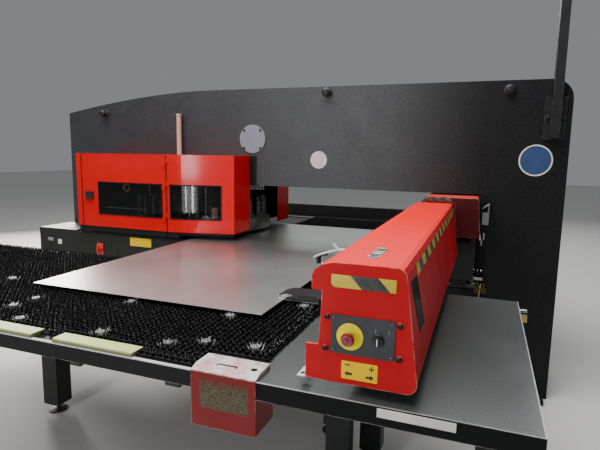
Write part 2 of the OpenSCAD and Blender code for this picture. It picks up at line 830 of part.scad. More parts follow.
x_rail_z = [1085, 1205];
module x_rails() {
    color(steel) for (z = x_rail_z)
        block([beam_x[0] - 24, beam_x[0] - fit], [-beam_half + 10, beam_half - 10], [z - 14, z + 14]);
}

rack_pitch = 20;
rack_z = 1145;
rack_line = beam_x[0] - 17;
tooth_h = 4;
pinion_teeth = 10;
pinion_r = pinion_teeth * rack_pitch / (2 * PI);
pinion_x = rack_line - pinion_r;
pinion_y = carriage_y + 400;
// Coarse rack between the rails, its teeth pointing to the carriage.
module x_rack() {
    n = floor((2 * beam_half - 60) / rack_pitch / 2) * 2;
    first = pinion_y - round((pinion_y + n * rack_pitch / 2) / rack_pitch) * rack_pitch;
    color(steel) translate([0, first, rack_z - 12]) linear_extrude(24)
        polygon(concat([[beam_x[0] - fit, 0]],
            [for (i = [0:n - 1]) each [[rack_line + tooth_h + 1, i * rack_pitch + 4],
                [rack_line - tooth_h, i * rack_pitch + 7.5],
                [rack_line - tooth_h, i * rack_pitch + 12.5],
                    [rack_line + tooth_h + 1, i * rack_pitch + 16]]],
            [[rack_line + tooth_h + 1, n * rack_pitch], [beam_x[0] - fit, n * rack_pitch]]));
}

// Pinion on the motor's shaft. A tooth points at a gap of the rack at rest.
module x_pinion() {
    r0 = pinion_r - tooth_h - 2;
    r1 = pinion_r + tooth_h - 0.5;
    color(steel) translate([pinion_x, pinion_y, 0]) {
        translate([0, 0, rack_z - 11]) linear_extrude(22) union() {
            circle(r0, $fn = 40);
            for (i = [0:pinion_teeth - 1]) rotate(i * 360 / pinion_teeth)
                polygon([[r0 - 3, -5], [r0, -4.6], [r1, -2], [r1, 2], [r0, 4.6], [r0 - 3, 5]]);
        }
        translate([0, 0, motor_top - 40]) cylinder(d = 16 - shaft_fit, h = rack_z - motor_top + 30);
    }
}

motor_top = 1062;
module x_motor() {
    color(black) difference() {
        union() {
            block([pinion_x - 42, pinion_x + 42], [pinion_y - 42, pinion_y + 42], [beam_z0 + 6, motor_top]);
            block([carriage_x[0] + 2, carriage_x[1] - 4], [pinion_y - 60, pinion_y + 60],
                [motor_top - 8, 1068 - fit]);
        }
        bar_z(pinion_x, pinion_y, [motor_top - 41, 1070], 16);
    }
}

carriage_half = 1050;
bar_left = 1068;
bar_top = 1120;
carriage_x = [1112, beam_x[0] - 26];
// Long slide plate with four rail blocks and the bar that the clamps sit on.
module carriage() {
    color("#55585b") translate([0, carriage_y, 0]) difference() {
        union() {
            block([carriage_x[0], carriage_x[1] - 2], [-carriage_half, carriage_half], [1068, 1214]);
            for (s = [-1, 1]) for (z = x_rail_z)
                block([carriage_x[1] - 3, beam_x[0] - 4], [s * 800 - 70, s * 800 + 70], [z - 26, z + 26]);
            block([bar_left, carriage_x[0] + 1], [-carriage_half, carriage_half], [1074, bar_top]);
        }
        for (s = [-1, 1]) for (z = x_rail_z)
            block([beam_x[0] - 24.6, beam_x[0]], [s * 800 - 71, s * 800 + 71], [z - 14 - fit, z + 14 + fit]);
        translate([pinion_x, pinion_y - carriage_y, rack_z - 13])
            cylinder(r = pinion_r + tooth_h + 2, h = 26);
        translate([pinion_x, pinion_y - carriage_y, 1060]) cylinder(d = 18, h = rack_z - 1060);
    }
}

clamp_w = 150;
nose_x = 668;
arm_top = upper_z - 3;
jaw_z = [pass_z + sheet_t + fit, arm_top - 2];
jaw_pivot_x = 900;
jaw_pivot_z = (pass_z + arm_top) / 2 + 3;
clamp_places = [-clamp_pitch, 0, clamp_pitch];
module clamp_arm() {
    w = clamp_w / 2;
    difference() {
        union() {
            block([nose_x, jaw_pivot_x + 70], [-w, w], [pass_z - 6, pass_z - fit]);
            block([jaw_pivot_x + 20, 1100], [-w, w], [pass_z - 6, arm_top]);
            for (s = [-1, 1])
                block([jaw_pivot_x - 30, jaw_pivot_x + 21], [s * (w - 8) - 8, s * (w - 8) + 8],
                    [pass_z - 6, arm_top]);
            block([bar_left + 2, carriage_x[0] - 4], [-w, w], [arm_top - 1, 1074 - fit]);
        }
        bar_y(jaw_pivot_x, jaw_pivot_z, [-w - 1, w + 1], 12 + shaft_fit);
        block([carriage_x[0] - 8, 1101], [-w - 1, w + 1], [beam_z0 - 20, arm_top + 1]);
    }
}

module clamp_arms() {
    color(black) for (y = clamp_places) translate([0, carriage_y + y, 0]) clamp_arm();
}

// Upper jaw: a flat finger on its pivot pin, opened by lifting the nose.
module clamp_jaws() {
    w = clamp_w / 2 - 17;
    color(steel) for (y = clamp_places) translate([0, carriage_y + y, 0]) {
        slab([-w, w]) difference() {
            polygon([[nose_x, jaw_z[0]], [nose_x, jaw_z[0] + 8], [nose_x + 40, jaw_z[1]],
                [jaw_pivot_x + 8, jaw_z[1]],
                [jaw_pivot_x + 12, jaw_z[1] - 4], [jaw_pivot_x + 12, jaw_z[0] + 4],
                    [jaw_pivot_x + 8, jaw_z[0]]]);
        }
        bar_y(jaw_pivot_x, jaw_pivot_z, [-clamp_w / 2 + 1, clamp_w / 2 - 1], 12);
    }
}

hose_d = 10;
hose_r = 44;
hose_sides = 8;
hose_steps = 3;
// The front clamp's air hose, from the bar's top out over the clamp and back to the clamp's riser.
hose_route = [[1090, -1720, 1120.3], [1090, -1720, 1150], [1066, -1725, 1180], [1020, -1728, 1193],
    [957, -1730, 1194], [884, -1730, 1173], [856, -1725, 1162], [830, -1712, 1147], [824, -1698, 1135],
    [833, -1684, 1120], [852, -1672, 1111], [890, -1668, 1102], [950, -1668, 1084], [1010, -1668, 1064],
    [1040, -1668, 1058], [1069.7, -1668, 1058]];

// Point of a smooth line through the points p, where t counts the points from 0.
function route_point(p, t) = let (k = min(floor(t), len(p) - 2), u = t - k, a = p[max(k - 1, 0)], b = p[k],
        c = p[k + 1], d = p[min(k + 2, len(p) - 1)])
    0.5 * (2 * b + (c - a) * u + (2 * a - 5 * b + 4 * c - d) * u * u + (3 * b - a - 3 * c + d) * u * u * u);

function unit(v) = v / norm(v);

// One ring of a hose round the point at t, square to the line.
function hose_ring(p, t) = let (
        along = unit(route_point(p, min(t + 0.02, len(p) - 1)) - route_point(p, max(t - 0.02, 0))),
        side = unit(cross(along, [0.3, 1, 0.2])), other = cross(along, side))
    [for (j = [0:hose_sides - 1]) let (a = 360 * j / hose_sides)
        route_point(p, t) + hose_d / 2 * (cos(a) * side + sin(a) * other)];

module hose(p) {
    n = (len(p) - 1) * hose_steps;
    s = hose_sides;
    polyhedron([for (i = [0:n]) each hose_ring(p, i / hose_steps)], concat(
        [[for (j = [0:s - 1]) j]],
        [for (i = [0:n - 1]) for (j = [0:s - 1]) let (k = (j + 1) % s) each
            [[i * s + j, (i + 1) * s + k, i * s + k], [i * s + j, (i + 1) * s + j, (i + 1) * s + k]]],
        [[for (j = [s - 1:-1:0]) n * s + j]]));
}

// Air hoses: the front one stands over its clamp with a branch, the others lie in loops on the bar.
module clamp_hoses() {
    color("white") {
        hose(hose_route);
        translate(hose_route[4] - [8, 0, 6]) rotate([0, -43, 0]) cylinder(d = hose_d + 3, h = 42);
        for (y = [0, clamp_pitch])
            translate([bar_left + 22, carriage_y + y + 10, bar_top + fit + hose_r + hose_d / 2])
                rotate([0, -90, 0]) rotate([0, 0, 20]) rotate_extrude(angle = 330, $fn = 48)
                    translate([hose_r, 0]) circle(d = hose_d, $fn = 16);
    }
}

module work_sheet() {
    color("#cfd1cf")
        block([sheet_edge - sheet_w, sheet_edge], [carriage_y - sheet_l / 2, carriage_y + sheet_l / 2],
            [pass_z, pass_z + sheet_t]);
}

// Beam covers

lip_x = beam_left + 20;
lip_z = beam_top - 85;
shoulder_x = beam_right - 42;
notch = [beam_left + 39, beam_z0 + 104];
// Outer line of the beam cover's end: a rounded top, one leaning side and a notch for the clamps.
module end_outline() {
    middle = (lip_x + shoulder_x) / 2;
    difference() {
        union() {
            offset(r = 30, $fn = 32) offset(delta = -30) polygon([[middle - 60, beam_z0],
                [beam_right + 4, beam_z0], [shoulder_x, beam_top], [middle - 60, beam_top]]);
            polygon([[beam_left, beam_z0 + 6], [beam_left + 8, beam_z0], [middle, beam_z0],
                [middle, beam_top],
                [lip_x + 59, beam_top], [lip_x + 24, beam_top - 9], [lip_x, beam_top - 28],
                    [beam_left, lip_z]]);
        }
        polygon([[beam_left - 60, notch[1]], [notch[0], notch[1] + 4], [notch[0] + 8, lip_z - 1],
            [lip_x - 5, lip_z + 1], [lip_x - 5, beam_top + 93], [beam_left - 60, beam_top + 93]]);
    }
}

// Sheet-metal line of the long cover: lip, top and leaning side, open towards the clamps.
module cover_line(t) {
    polygon([[lip_x, lip_z], [lip_x, beam_top - 28], [lip_x + 24, beam_top - 9], [lip_x + 59, beam_top],
        [shoulder_x - 24, beam_top], [shoulder_x - 9, beam_top - 5], [shoulder_x, beam_top - 20],
        [beam_right, beam_z0 + 34], [beam_right - t, beam_z0 + 34], [shoulder_x - t, beam_top - 21],
        [shoulder_x - 11 - t / 2, beam_top - 4 - t], [shoulder_x - 24, beam_top - t],
        [lip_x + 59, beam_top - t],
        [lip_x + 25, beam_top - 9 - t], [lip_x + t, beam_top - 29], [lip_x + t, lip_z]]);
}

panel_x = [1142, 1326];
panel_z = [1043, 1157];
button_x = 1199;
button_z = 1097;
knob_x = 1280;
module beam_cover_front() {
    color(red) {
        slab([-beam_reach + 6, -hood_half + 10]) cover_line(cover_t);
        difference() {
            slab([-beam_reach, -beam_reach + 6.5]) end_outline();
            bar_y(button_x, button_z, [-beam_reach - 1, -beam_reach + 8], 30);
            bar_y(knob_x, button_z, [-beam_reach - 1, -beam_reach + 8], 22);
        }
        cover_brackets();
        for (x = [[1127, 1055], [1339, 1053], [1131, 1149], [1339, 1148]])
            bar_y(x[0], x[1], [-beam_reach - 8, -beam_reach + 1], 15);
    }
}

// Brackets that stand on the beam and carry the long cover.
module cover_brackets() {
    for (y = [-beam_reach + 70, -beam_reach / 2, -hood_half - 60])
        block([beam_x[0] + 10, beam_x[1] - 10], [y - 20, y + 20], [beam_z[1] + fit, beam_top - 1]);
}

module beam_cover_rear() {
    color(red) mirror([0, 1, 0]) {
        cover_brackets();
        slab([-beam_reach + 6, -hood_half + 10]) cover_line(cover_t);
        slab([-beam_reach, -beam_reach + 6.5]) end_outline();
    }
}

hood_x = [beam_left + 77, saddle_x[1] + 10, saddle_x[1] + 31];
hood_z0 = saddle_z[1] + 44;
hood_lip = beam_top + 5;
hood_rise = 35;
module hood_line(t) {
    polygon([[hood_x[0], hood_lip], [hood_x[0] + hood_rise, hood_top], [hood_x[1] - 10, hood_top],
        [hood_x[1], hood_top - 8], [hood_x[2], hood_z0], [hood_x[2] - t, hood_z0],
            [hood_x[1] - t, hood_top - 9],
        [hood_x[1] - 11, hood_top - t], [hood_x[0] + hood_rise + 1, hood_top - t],
            [hood_x[0] + t * 1.5, hood_lip]]);
}

// End wall of the middle cover, cut round the long cover that passes under it.
module hood_end() {
    polygon([[hood_x[0], beam_top + fit], [hood_x[0], hood_lip], [hood_x[0] + hood_rise, hood_top],
        [hood_x[1] - 10, hood_top], [hood_x[1], hood_top - 8], [hood_x[2], hood_z0],
        [beam_right - 9, hood_z0], [shoulder_x + 4, beam_top + fit]]);
}

// Wider cover over the beam where it passes under the bridge.
module beam_hood() {
    color("#b51d1a") {
        slab([-hood_half, hood_half]) hood_line(cover_t);
        both_sides() {
            slab([-hood_half, -hood_half + cover_t]) hood_end();
            block([shoulder_x - 13, shoulder_x + 7], [-hood_half + 2, -hood_half + 22],
                [beam_top + fit, beam_top + 20]);
            block([saddle_x[1] - 20, hood_x[2] - 1], [-saddle_half + 1, -saddle_half + 20],
                [hood_z0, hood_z0 + 20]);
            block([saddle_x[1] - 20, saddle_x[1] - 1], [-saddle_half + 1, -saddle_half + 20],
                [saddle_z[1] + fit, hood_z0 + 1]);
        }
    }
}

module control_panel() {
    color("#3c3f42") difference() {
        union() {
            block(panel_x, [-beam_reach - 3 - fit, -beam_reach - fit], panel_z);
            for (x = [panel_x[0] + 9, panel_x[1] - 9]) for (z = [panel_z[0] + 9, panel_z[1] - 9])
                bar_y(x, z, [-beam_reach - 5, -beam_reach - 3], 8);
        }
        bar_y(button_x, button_z, [-beam_reach - 6, -beam_reach + 1], 24);
        bar_y(knob_x, button_z, [-beam_reach - 6, -beam_reach + 1], 18);
    }
}

// Mushroom stop button on its stem.
module stop_button() {
    color("#b3141a") translate([button_x, -beam_reach - 12, button_z]) rotate([90, 0, 0]) rotate_extrude()
        polygon([[0, -26], [12 - shaft_fit / 2, -26], [12 - shaft_fit / 2, 8], [16, 9], [19, 14], [20, 20],
            [18, 25], [13, 28], [0, 30]]);
}

module selector_knob() {
    color(black) {
        bar_y(knob_x, button_z, [-beam_reach - 14, -beam_reach - 4], 26);
        block([knob_x - 4, knob_x + 4], [-beam_reach - 22, -beam_reach - 12], [button_z - 13, button_z + 13]);
        bar_y(knob_x, button_z, [-beam_reach - 5, -beam_reach + 14], 18 - shaft_fit);
    }
}

// Brass air fittings on a small block at the right leg.
fitting_z = bed_h + 30;
module air_fittings() {
    y = -half_t;
    color("#b98e3a") {
        block([throat_right - 50, throat_right + 30], [y - 30, y - fit], [fitting_z - 40, fitting_z]);
        for (x = [throat_right - 30, throat_right + 10]) {
            bar_z(x, y - 15, [fitting_z - 1, fitting_z + 30], 16);
            bar_z(x, y - 15, [fitting_z + 12, fitting_z + 22], 24);
        }
    }
}

bridge_frame();
lifting_studs();
access_cover();
mast();
mast_bracket();
breather_pipe();
turret_post_upper();
upper_turret();
punch_holders();
turret_post_lower();
lower_turret();
dies();
ram_housing();
ram();
striker();
turret_cover_front();
turret_door();
door_window();
door_latch();
bent_window();
turret_cover_rear();
base_cabinet_front();
base_cabinet_rear();
mains_switch_plate();
mains_switch_knob();
table_brush_front();
table_brush_rear();
brushes_front();
brushes_rear();
table_plate_front();
table_plate_rear();
centre_tables();
table_legs();
table_feet();
edge_strips();
guard_box();
y_rails();
y_screw();
y_bearings();
y_motor();
y_motor_pulley();
y_belt();
saddle();
beam();
x_rails();
x_rack();
x_motor();
x_pinion();
carriage();
clamp_arms();
clamp_jaws();
clamp_hoses();
work_sheet();
beam_cover_front();
beam_cover_rear();
beam_hood();
control_panel();
stop_button();
selector_knob();
air_fittings();
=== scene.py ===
# %% [markdown]
# # A turret punch press, dressed around its CAD frame
# The machine punches holes into steel sheet. A bridge frame spans the work, a turret of punches and
# dies sits under its left half behind red covers, and a clamp beam under a long red hood pushes the
# sheet through the throat over tables of black brushes. The CAD model already holds every moving
# body, so this script gives each node its finish and adds the small pieces that the eye looks for.

# %% Load the frame
import math
import bmesh
import bpy
import numpy as np
from mathutils import Matrix, Vector


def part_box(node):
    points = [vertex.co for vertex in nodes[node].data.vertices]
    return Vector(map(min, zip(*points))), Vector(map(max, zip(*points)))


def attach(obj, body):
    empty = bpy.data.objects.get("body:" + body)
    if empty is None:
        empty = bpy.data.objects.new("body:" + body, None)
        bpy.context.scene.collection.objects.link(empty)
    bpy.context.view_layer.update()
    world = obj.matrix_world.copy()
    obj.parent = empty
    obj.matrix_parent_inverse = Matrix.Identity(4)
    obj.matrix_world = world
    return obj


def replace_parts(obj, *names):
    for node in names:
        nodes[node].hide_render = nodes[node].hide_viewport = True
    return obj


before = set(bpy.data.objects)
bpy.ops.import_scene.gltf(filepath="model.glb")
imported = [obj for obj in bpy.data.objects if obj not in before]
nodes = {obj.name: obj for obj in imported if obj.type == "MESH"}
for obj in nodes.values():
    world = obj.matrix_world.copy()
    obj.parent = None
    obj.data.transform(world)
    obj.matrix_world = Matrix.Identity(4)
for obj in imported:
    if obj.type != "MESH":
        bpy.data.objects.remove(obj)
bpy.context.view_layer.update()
scene = bpy.context.scene

# %% [markdown]
# ## Camera
# The picture was taken from the front right corner of the tables, at eye height, looking left and a
# little down. Seven known corners of the machine gave the place and the focal length, so the camera
# is written as numbers: three turns and a point. It could be placed by eye, but then every small piece
# measured in the picture would sit a little off.

# %% Camera
IMAGE_WIDTH_PX = 600
FOCAL_PX = 491.9
SENSOR_MM = 36.0
EYE = Vector((1.528, -3.779, 1.607))
YAW, PITCH, ROLL = (math.radians(a) for a in (20.47, 8.22, 0.95))

forward = Vector((-math.sin(YAW) * math.cos(PITCH), math.cos(YAW) * math.cos(PITCH), -math.sin(PITCH)))
level_right = Vector((math.cos(YAW), math.sin(YAW), 0.0))
level_up = level_right.cross(forward)
right = level_right * math.cos(ROLL) + level_up * math.sin(ROLL)
up = level_up * math.cos(ROLL) - level_right * math.sin(ROLL)

lens = bpy.data.cameras.new("camera")
lens.lens = FOCAL_PX / IMAGE_WIDTH_PX * SENSOR_MM
lens.sensor_width = SENSOR_MM
lens.clip_end = 100
camera = bpy.data.objects.new("camera", lens)
scene.collection.objects.link(camera)
camera.matrix_world = Matrix.Translation(EYE) @ Matrix((right, up, -forward)).transposed().to_4x4()
scene.camera = camera
print("lens", round(lens.lens, 2), "mm")

# %% [markdown]
# ## Surfaces from whole arrays
# Every new piece is a grid of points: either a profile turned round an axis, or rings joined one to
# the next. numpy works out all points at once and the quads follow from the grid's counting, so one
# small set of helpers makes plates, buttons, hoses and bristles.

# %% Grids and lofts
def quads(rows, columns, close_rows=False):
    """Faces of a grid of rings: each joins point (i, j) to (i, j + 1), (i + 1, j + 1) and (i + 1, j)."""
    i, j = np.meshgrid(np.arange(rows if close_rows else rows - 1), np.arange(columns), indexing="ij")
    a, b = (i + 1) % rows, (j + 1) % columns
    return np.stack([i * columns + j, i * columns + b, a * columns + b, a * columns + j], -1).reshape(-1, 4)


def loft(rings):
    """Closed rings joined in order. The first and the last ring get a flat face each."""
    rows, columns = rings.shape[:2]
    ends = np.arange(columns)
    return rings.reshape(-1, 3), [quads(rows, columns), np.stack([ends[::-1], ends + (rows - 1) * columns])]


def ring(radius, count=32):
    """Points of a circle: radius times cosine and sine of equal steps."""
    a = np.linspace(0, 2 * np.pi, count, endpoint=False)
    return np.stack([np.cos(a), np.sin(a)], -1) * radius


def rounded(width, height, radius, steps=4):
    """A rectangle whose corners are quarter circles: corner centre plus radius times cosine and sine."""
    a = (np.linspace(0, np.pi / 2, steps)[None] + np.arange(4)[:, None] * np.pi / 2).ravel()
    sx = np.repeat([1, -1, -1, 1], steps)
    sy = np.repeat([1, 1, -1, -1], steps)
    return np.stack([sx * (width / 2 - radius) + radius * np.cos(a),
                     sy * (height / 2 - radius) + radius * np.sin(a)], -1)


def prism(outline, low, high):
    """A flat outline carried straight up from one height to another."""
    outline = np.asarray(outline, float)
    return loft(np.stack([np.c_[outline, np.full(len(outline), h)] for h in (low, high)]))


def block(x, y, z):
    """A box between two numbers on each axis."""
    return prism([(x[0], y[0]), (x[1], y[0]), (x[1], y[1]), (x[0], y[1])], *z)


def drawn_along_x(profile, ends):
    """A profile in Y and Z drawn along X between two ends."""
    return loft(np.stack([np.c_[np.full(len(profile), x), profile] for x in ends]))


def inset(outline, distance):
    """The outline moved inwards by a distance along its own normals, which are its tangents turned."""
    tangent = np.roll(outline, -1, 0) - np.roll(outline, 1, 0)
    tangent /= np.linalg.norm(tangent, axis=1)[:, None]
    return outline - np.stack([tangent[:, 1], -tangent[:, 0]], -1) * distance


def plate(outline, thickness, soft=0.001):
    """A flat plate: rings rise from the base and turn inwards over a quarter circle of radius soft."""
    a = np.linspace(0, np.pi / 2, 4)
    levels = [(0, 0.0)] + [(soft * (1 - math.cos(t)), thickness - soft + soft * math.sin(t)) for t in a]
    return loft(np.stack([np.c_[inset(outline, d), np.full(len(outline), h)] for d, h in levels]))


print("helpers for lofts, prisms and plates")

# %% Turned forms, tubes and curves
def turned(profile, count=32):
    """A profile of (radius, height) carried round the third axis: radius cos, radius sin, height."""
    profile = np.asarray(profile, float)
    circle = ring(1.0, count)
    heights = np.repeat(profile[:, None, 1:], count, 1)
    return loft(np.concatenate([profile[:, None, :1] * circle[None], heights], -1))


def washer(profile, count=48):
    """A closed profile of (radius, height) carried round the axis, so that it keeps its hole."""
    rings = np.stack([np.c_[r * ring(1.0, count), np.full(count, h)] for r, h in profile])
    return rings.reshape(-1, 3), [quads(len(profile), count, close_rows=True)]


def tube(path, radius, count=12):
    """A round tube: at each point of the path a circle in the plane of two directions square to it."""
    path = np.asarray(path, float)
    along = np.gradient(path, axis=0)
    along /= np.linalg.norm(along, axis=1)[:, None]
    mean = np.abs(along).mean(0)
    side = np.cross(along, np.eye(3)[np.argmin(mean)])
    side /= np.linalg.norm(side, axis=1)[:, None]
    other = np.cross(along, side)
    c = ring(1.0, count)[None]
    return loft(path[:, None] + radius * (side[:, None] * c[..., :1] + other[:, None] * c[..., 1:]))


def curve_through(points, count=24):
    """A smooth line through points: each stretch is a cubic whose slopes follow its neighbours."""
    p = np.asarray(points, float)
    p = np.vstack([2 * p[0] - p[1], p, 2 * p[-1] - p[-2]])
    t = np.linspace(0, len(p) - 3, count)
    k = np.minimum(t.astype(int), len(p) - 4)
    u = (t - k)[:, None]
    a, b, c, d = p[k], p[k + 1], p[k + 2], p[k + 3]
    cubic = (3 * b - a - 3 * c + d) * u ** 3
    return 0.5 * (2 * b + (c - a) * u + (2 * a - 5 * b + 4 * c - d) * u ** 2 + cubic)


print("helpers for turned forms and tubes")

# %% Placing, joining and repeating
def stand(part, origin, across=(1, 0, 0), upward=(0, 0, 1)):
    """Local x, y, z laid along across, upward and their cross product, from an origin."""
    points, faces = part
    x, y = np.asarray(across, float), np.asarray(upward, float)
    return np.asarray(origin) + points @ np.stack([x, y, np.cross(x, y)]), faces


def facing_front(part, x, y, z):
    """A part drawn flat, stood upright on a face that looks along -Y."""
    return stand(part, (x, y, z))


def facing_sky(part, x, y, z):
    """A part drawn flat, laid on a face that looks up."""
    return stand(part, (x, y, z), (1, 0, 0), (0, 1, 0))


def join(*parts):
    """Several parts as one: the points in a row, the faces counted on."""
    starts = np.cumsum([0] + [len(p[0]) for p in parts[:-1]])
    return np.vstack([p[0] for p in parts]), [f + s for p, s in zip(parts, starts) for f in p[1]]


def on_front(part, y, spots):
    """Copies of a flat part on a face that looks along -Y, one at each (x, z)."""
    return join(*[facing_front(part, x, y, z) for x, z in spots])


def repeat(part, shifts):
    """Copies of a part, one at each shift."""
    points, faces = part
    shifts = np.asarray(shifts, float)
    steps = np.arange(len(shifts)) * len(points)
    many = (points[None] + shifts[:, None]).reshape(-1, 3)
    return many, [(f[None] + steps[:, None, None]).reshape(-1, f.shape[1]) for f in faces]


print("helpers for placing")

# %% [markdown]
# A part becomes a piece when it is put into a mesh, given its finish and hung on a CAD body. Its
# faces are turned outwards, and only edges sharper than an angle stay sharp in the shading.

# %% From a part to a piece
SHARP_ANGLE = math.radians(38)
SAME_POINT = 1e-6


def piece(name, part, coat, body="machine", weld=True, soften=0.0):
    """Puts a part into Blender as a finished piece that rides on a CAD body."""
    points, faces = part
    mesh = bpy.data.meshes.new(name)
    mesh.from_pydata(points.tolist(), [], [f for group in faces for f in group.tolist()])
    if weld:
        b = bmesh.new()
        b.from_mesh(mesh)
        bmesh.ops.remove_doubles(b, verts=b.verts, dist=SAME_POINT)
        bmesh.ops.recalc_face_normals(b, faces=b.faces)
        b.to_mesh(mesh)
        b.free()
    mesh.polygons.foreach_set("use_smooth", np.ones(len(mesh.polygons), bool))
    mesh.set_sharp_from_angle(angle=SHARP_ANGLE)
    made = bpy.data.objects.new(name, mesh)
    scene.collection.objects.link(made)
    mesh.materials.append(coat)
    if soften:
        edge = made.modifiers.new("soft_edges", "BEVEL")
        edge.width = soften
        edge.segments = 2
        edge.limit_method = "ANGLE"
    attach(made, body)
    print(name, len(mesh.polygons), "faces")
    return made


print("piece() makes, finishes and hangs a part")

# %% [markdown]
# ## Finishes
# A finish is a small graph of nodes. All of them read the piece's own object coordinates in metres,
# so a scratch is as long on a small plate as on the bridge. An image could be wrapped round each piece
# instead, but it blurs close up and needs a file. The helpers below each add one idea: a place, a
# noise, a stretch of values, a mix of colours, a bump, or the mask of the edges, where paint wears first.

# %% Helpers for node graphs
def put(tree, kind, inputs=(), **settings):
    """Adds one node, sets its settings, and fills its sockets with numbers or with other sockets."""
    node = tree.nodes.new(kind)
    for key, value in settings.items():
        setattr(node, key, value)
    for socket, value in inputs:
        fill(tree, node.inputs[socket], value)
    return node


def fill(tree, socket, value):
    """A socket filled with a number, with a colour, or with another socket's link."""
    if isinstance(value, bpy.types.NodeSocket):
        tree.links.new(value, socket)
    elif socket.type == "RGBA":
        socket.default_value = (*value, 1.0)[:4]
    else:
        socket.default_value = value


def place(tree, scale=(1, 1, 1)):
    """Object coordinates, stretched by a scale."""
    at = put(tree, "ShaderNodeTexCoord").outputs["Object"]
    return put(tree, "ShaderNodeMapping", [("Vector", at), ("Scale", scale)]).outputs["Vector"]


def axis_of(tree, at, axis):
    """One of a place's three numbers."""
    return put(tree, "ShaderNodeSeparateXYZ", [(0, at)]).outputs[axis]


def noise(tree, at, scale, detail=3.0, rough=0.55, warp=0.0):
    """Cloudy noise from 0 to 1; scale is in lumps per metre."""
    return put(tree, "ShaderNodeTexNoise", [("Vector", at), ("Scale", scale), ("Detail", detail),
                                            ("Roughness", rough), ("Distortion", warp)]).outputs["Fac"]


def span(tree, value, low, high, to_low=0.0, to_high=1.0):
    """A value's stretch from low to high carried over to another stretch."""
    return put(tree, "ShaderNodeMapRange", [("Value", value), ("From Min", low), ("From Max", high),
                                            ("To Min", to_low), ("To Max", to_high)]).outputs["Result"]


def mix(tree, factor, a, b):
    """Two colours mixed: a at factor 0, b at factor 1. The node's sockets 6 and 7 are its colours."""
    return put(tree, "ShaderNodeMix", [(0, factor), (6, a), (7, b)], data_type="RGBA").outputs[2]


def math_of(tree, operation, a, b=0.0, clamp=False):
    """One sum, quotient or comparison of two values."""
    return put(tree, "ShaderNodeMath", [(0, a), (1, b)], operation=operation, use_clamp=clamp).outputs[0]


def times(tree, a, b, clamp=False):
    """Two values multiplied."""
    return math_of(tree, "MULTIPLY", a, b, clamp)


def bump(tree, height, depth, normal=None):
    """A bump whose full height is depth metres."""
    inputs = [("Height", height), ("Distance", depth), ("Strength", 1.0)]
    if normal is not None:
        inputs.append(("Normal", normal))
    return put(tree, "ShaderNodeBump", inputs).outputs["Normal"]


print("node helpers ready")

# %% Masks of edges, boxes and upward faces
def worn_edges(tree, radius, ragged):
    """A mask of the edges, broken up by a noise: where the cosine between a rounded normal and the true
    one falls from nearly 1 towards 0.9."""
    soft = put(tree, "ShaderNodeBevel", [("Radius", radius)], samples=4).outputs[0]
    true = put(tree, "ShaderNodeNewGeometry").outputs["Normal"]
    same = put(tree, "ShaderNodeVectorMath", [(0, soft), (1, true)], operation="DOT_PRODUCT").outputs["Value"]
    return times(tree, span(tree, same, 0.995, 0.90), ragged, clamp=True), soft


def box_mask(tree, at, axis, low, high, soft):
    """1 between low and high on one axis, falling to 0 over soft metres."""
    value = axis_of(tree, at, axis)
    rise, fall = span(tree, value, low - soft, low + soft), span(tree, value, high + soft, high - soft)
    return times(tree, rise, fall)


def facing_up(tree):
    """1 on faces that look up, 0 on walls: where dust settles, and where a painted lit top parts from sides
    in painted shade.
    """
    normal = put(tree, "ShaderNodeNewGeometry").outputs["Normal"]
    return span(tree, axis_of(tree, normal, "Z"), 0.5, 0.95)


def finish(name):
    """A new material with its tree and its shader."""
    made = bpy.data.materials.new(name)
    made.use_nodes = True
    return made, made.node_tree, made.node_tree.nodes["Principled BSDF"]


def wire(tree, shader, **sockets):
    """Fills the shader: a socket's name in lower case, with a number, a colour or another socket."""
    for key, value in sockets.items():
        fill(tree, shader.inputs[key.replace("_", " ").title().replace("Ior", "IOR")], value)


def shade_along(made, axis, low, high, most, colour):
    """Mixes a colour over a finish: nothing at low, its most at high, along one axis of the object."""
    tree = made.node_tree
    shader = tree.nodes["Principled BSDF"]
    under = shader.inputs["Base Color"].links[0].from_socket
    share = span(tree, axis_of(tree, place(tree), axis), low, high, 0.0, most)
    wire(tree, shader, base_color=mix(tree, share, under, colour))


print("masks ready")

# %% [markdown]
# ## Paints
# The bridge wears a thick charcoal coat with a coarse grain that sparkles; the covers are a glossy
# signal red; the cabinets and tables are a smoother dark grey. All are the same recipe with other
# numbers: two noises shift the colour, a fine noise gives the orange peel, dust lightens what faces
# up, and the mask of the edges lets pale primer or steel through. Colours are red, green and blue from
# 0 to 1; roughness is 0 for a mirror and 1 for chalk; grain is in lumps per metre, depth in metres.

# %% One recipe for paint
GLINT, SPARK, DUST = (0.085, 0.090, 0.108), (0.30, 0.31, 0.34), (0.30, 0.29, 0.275)


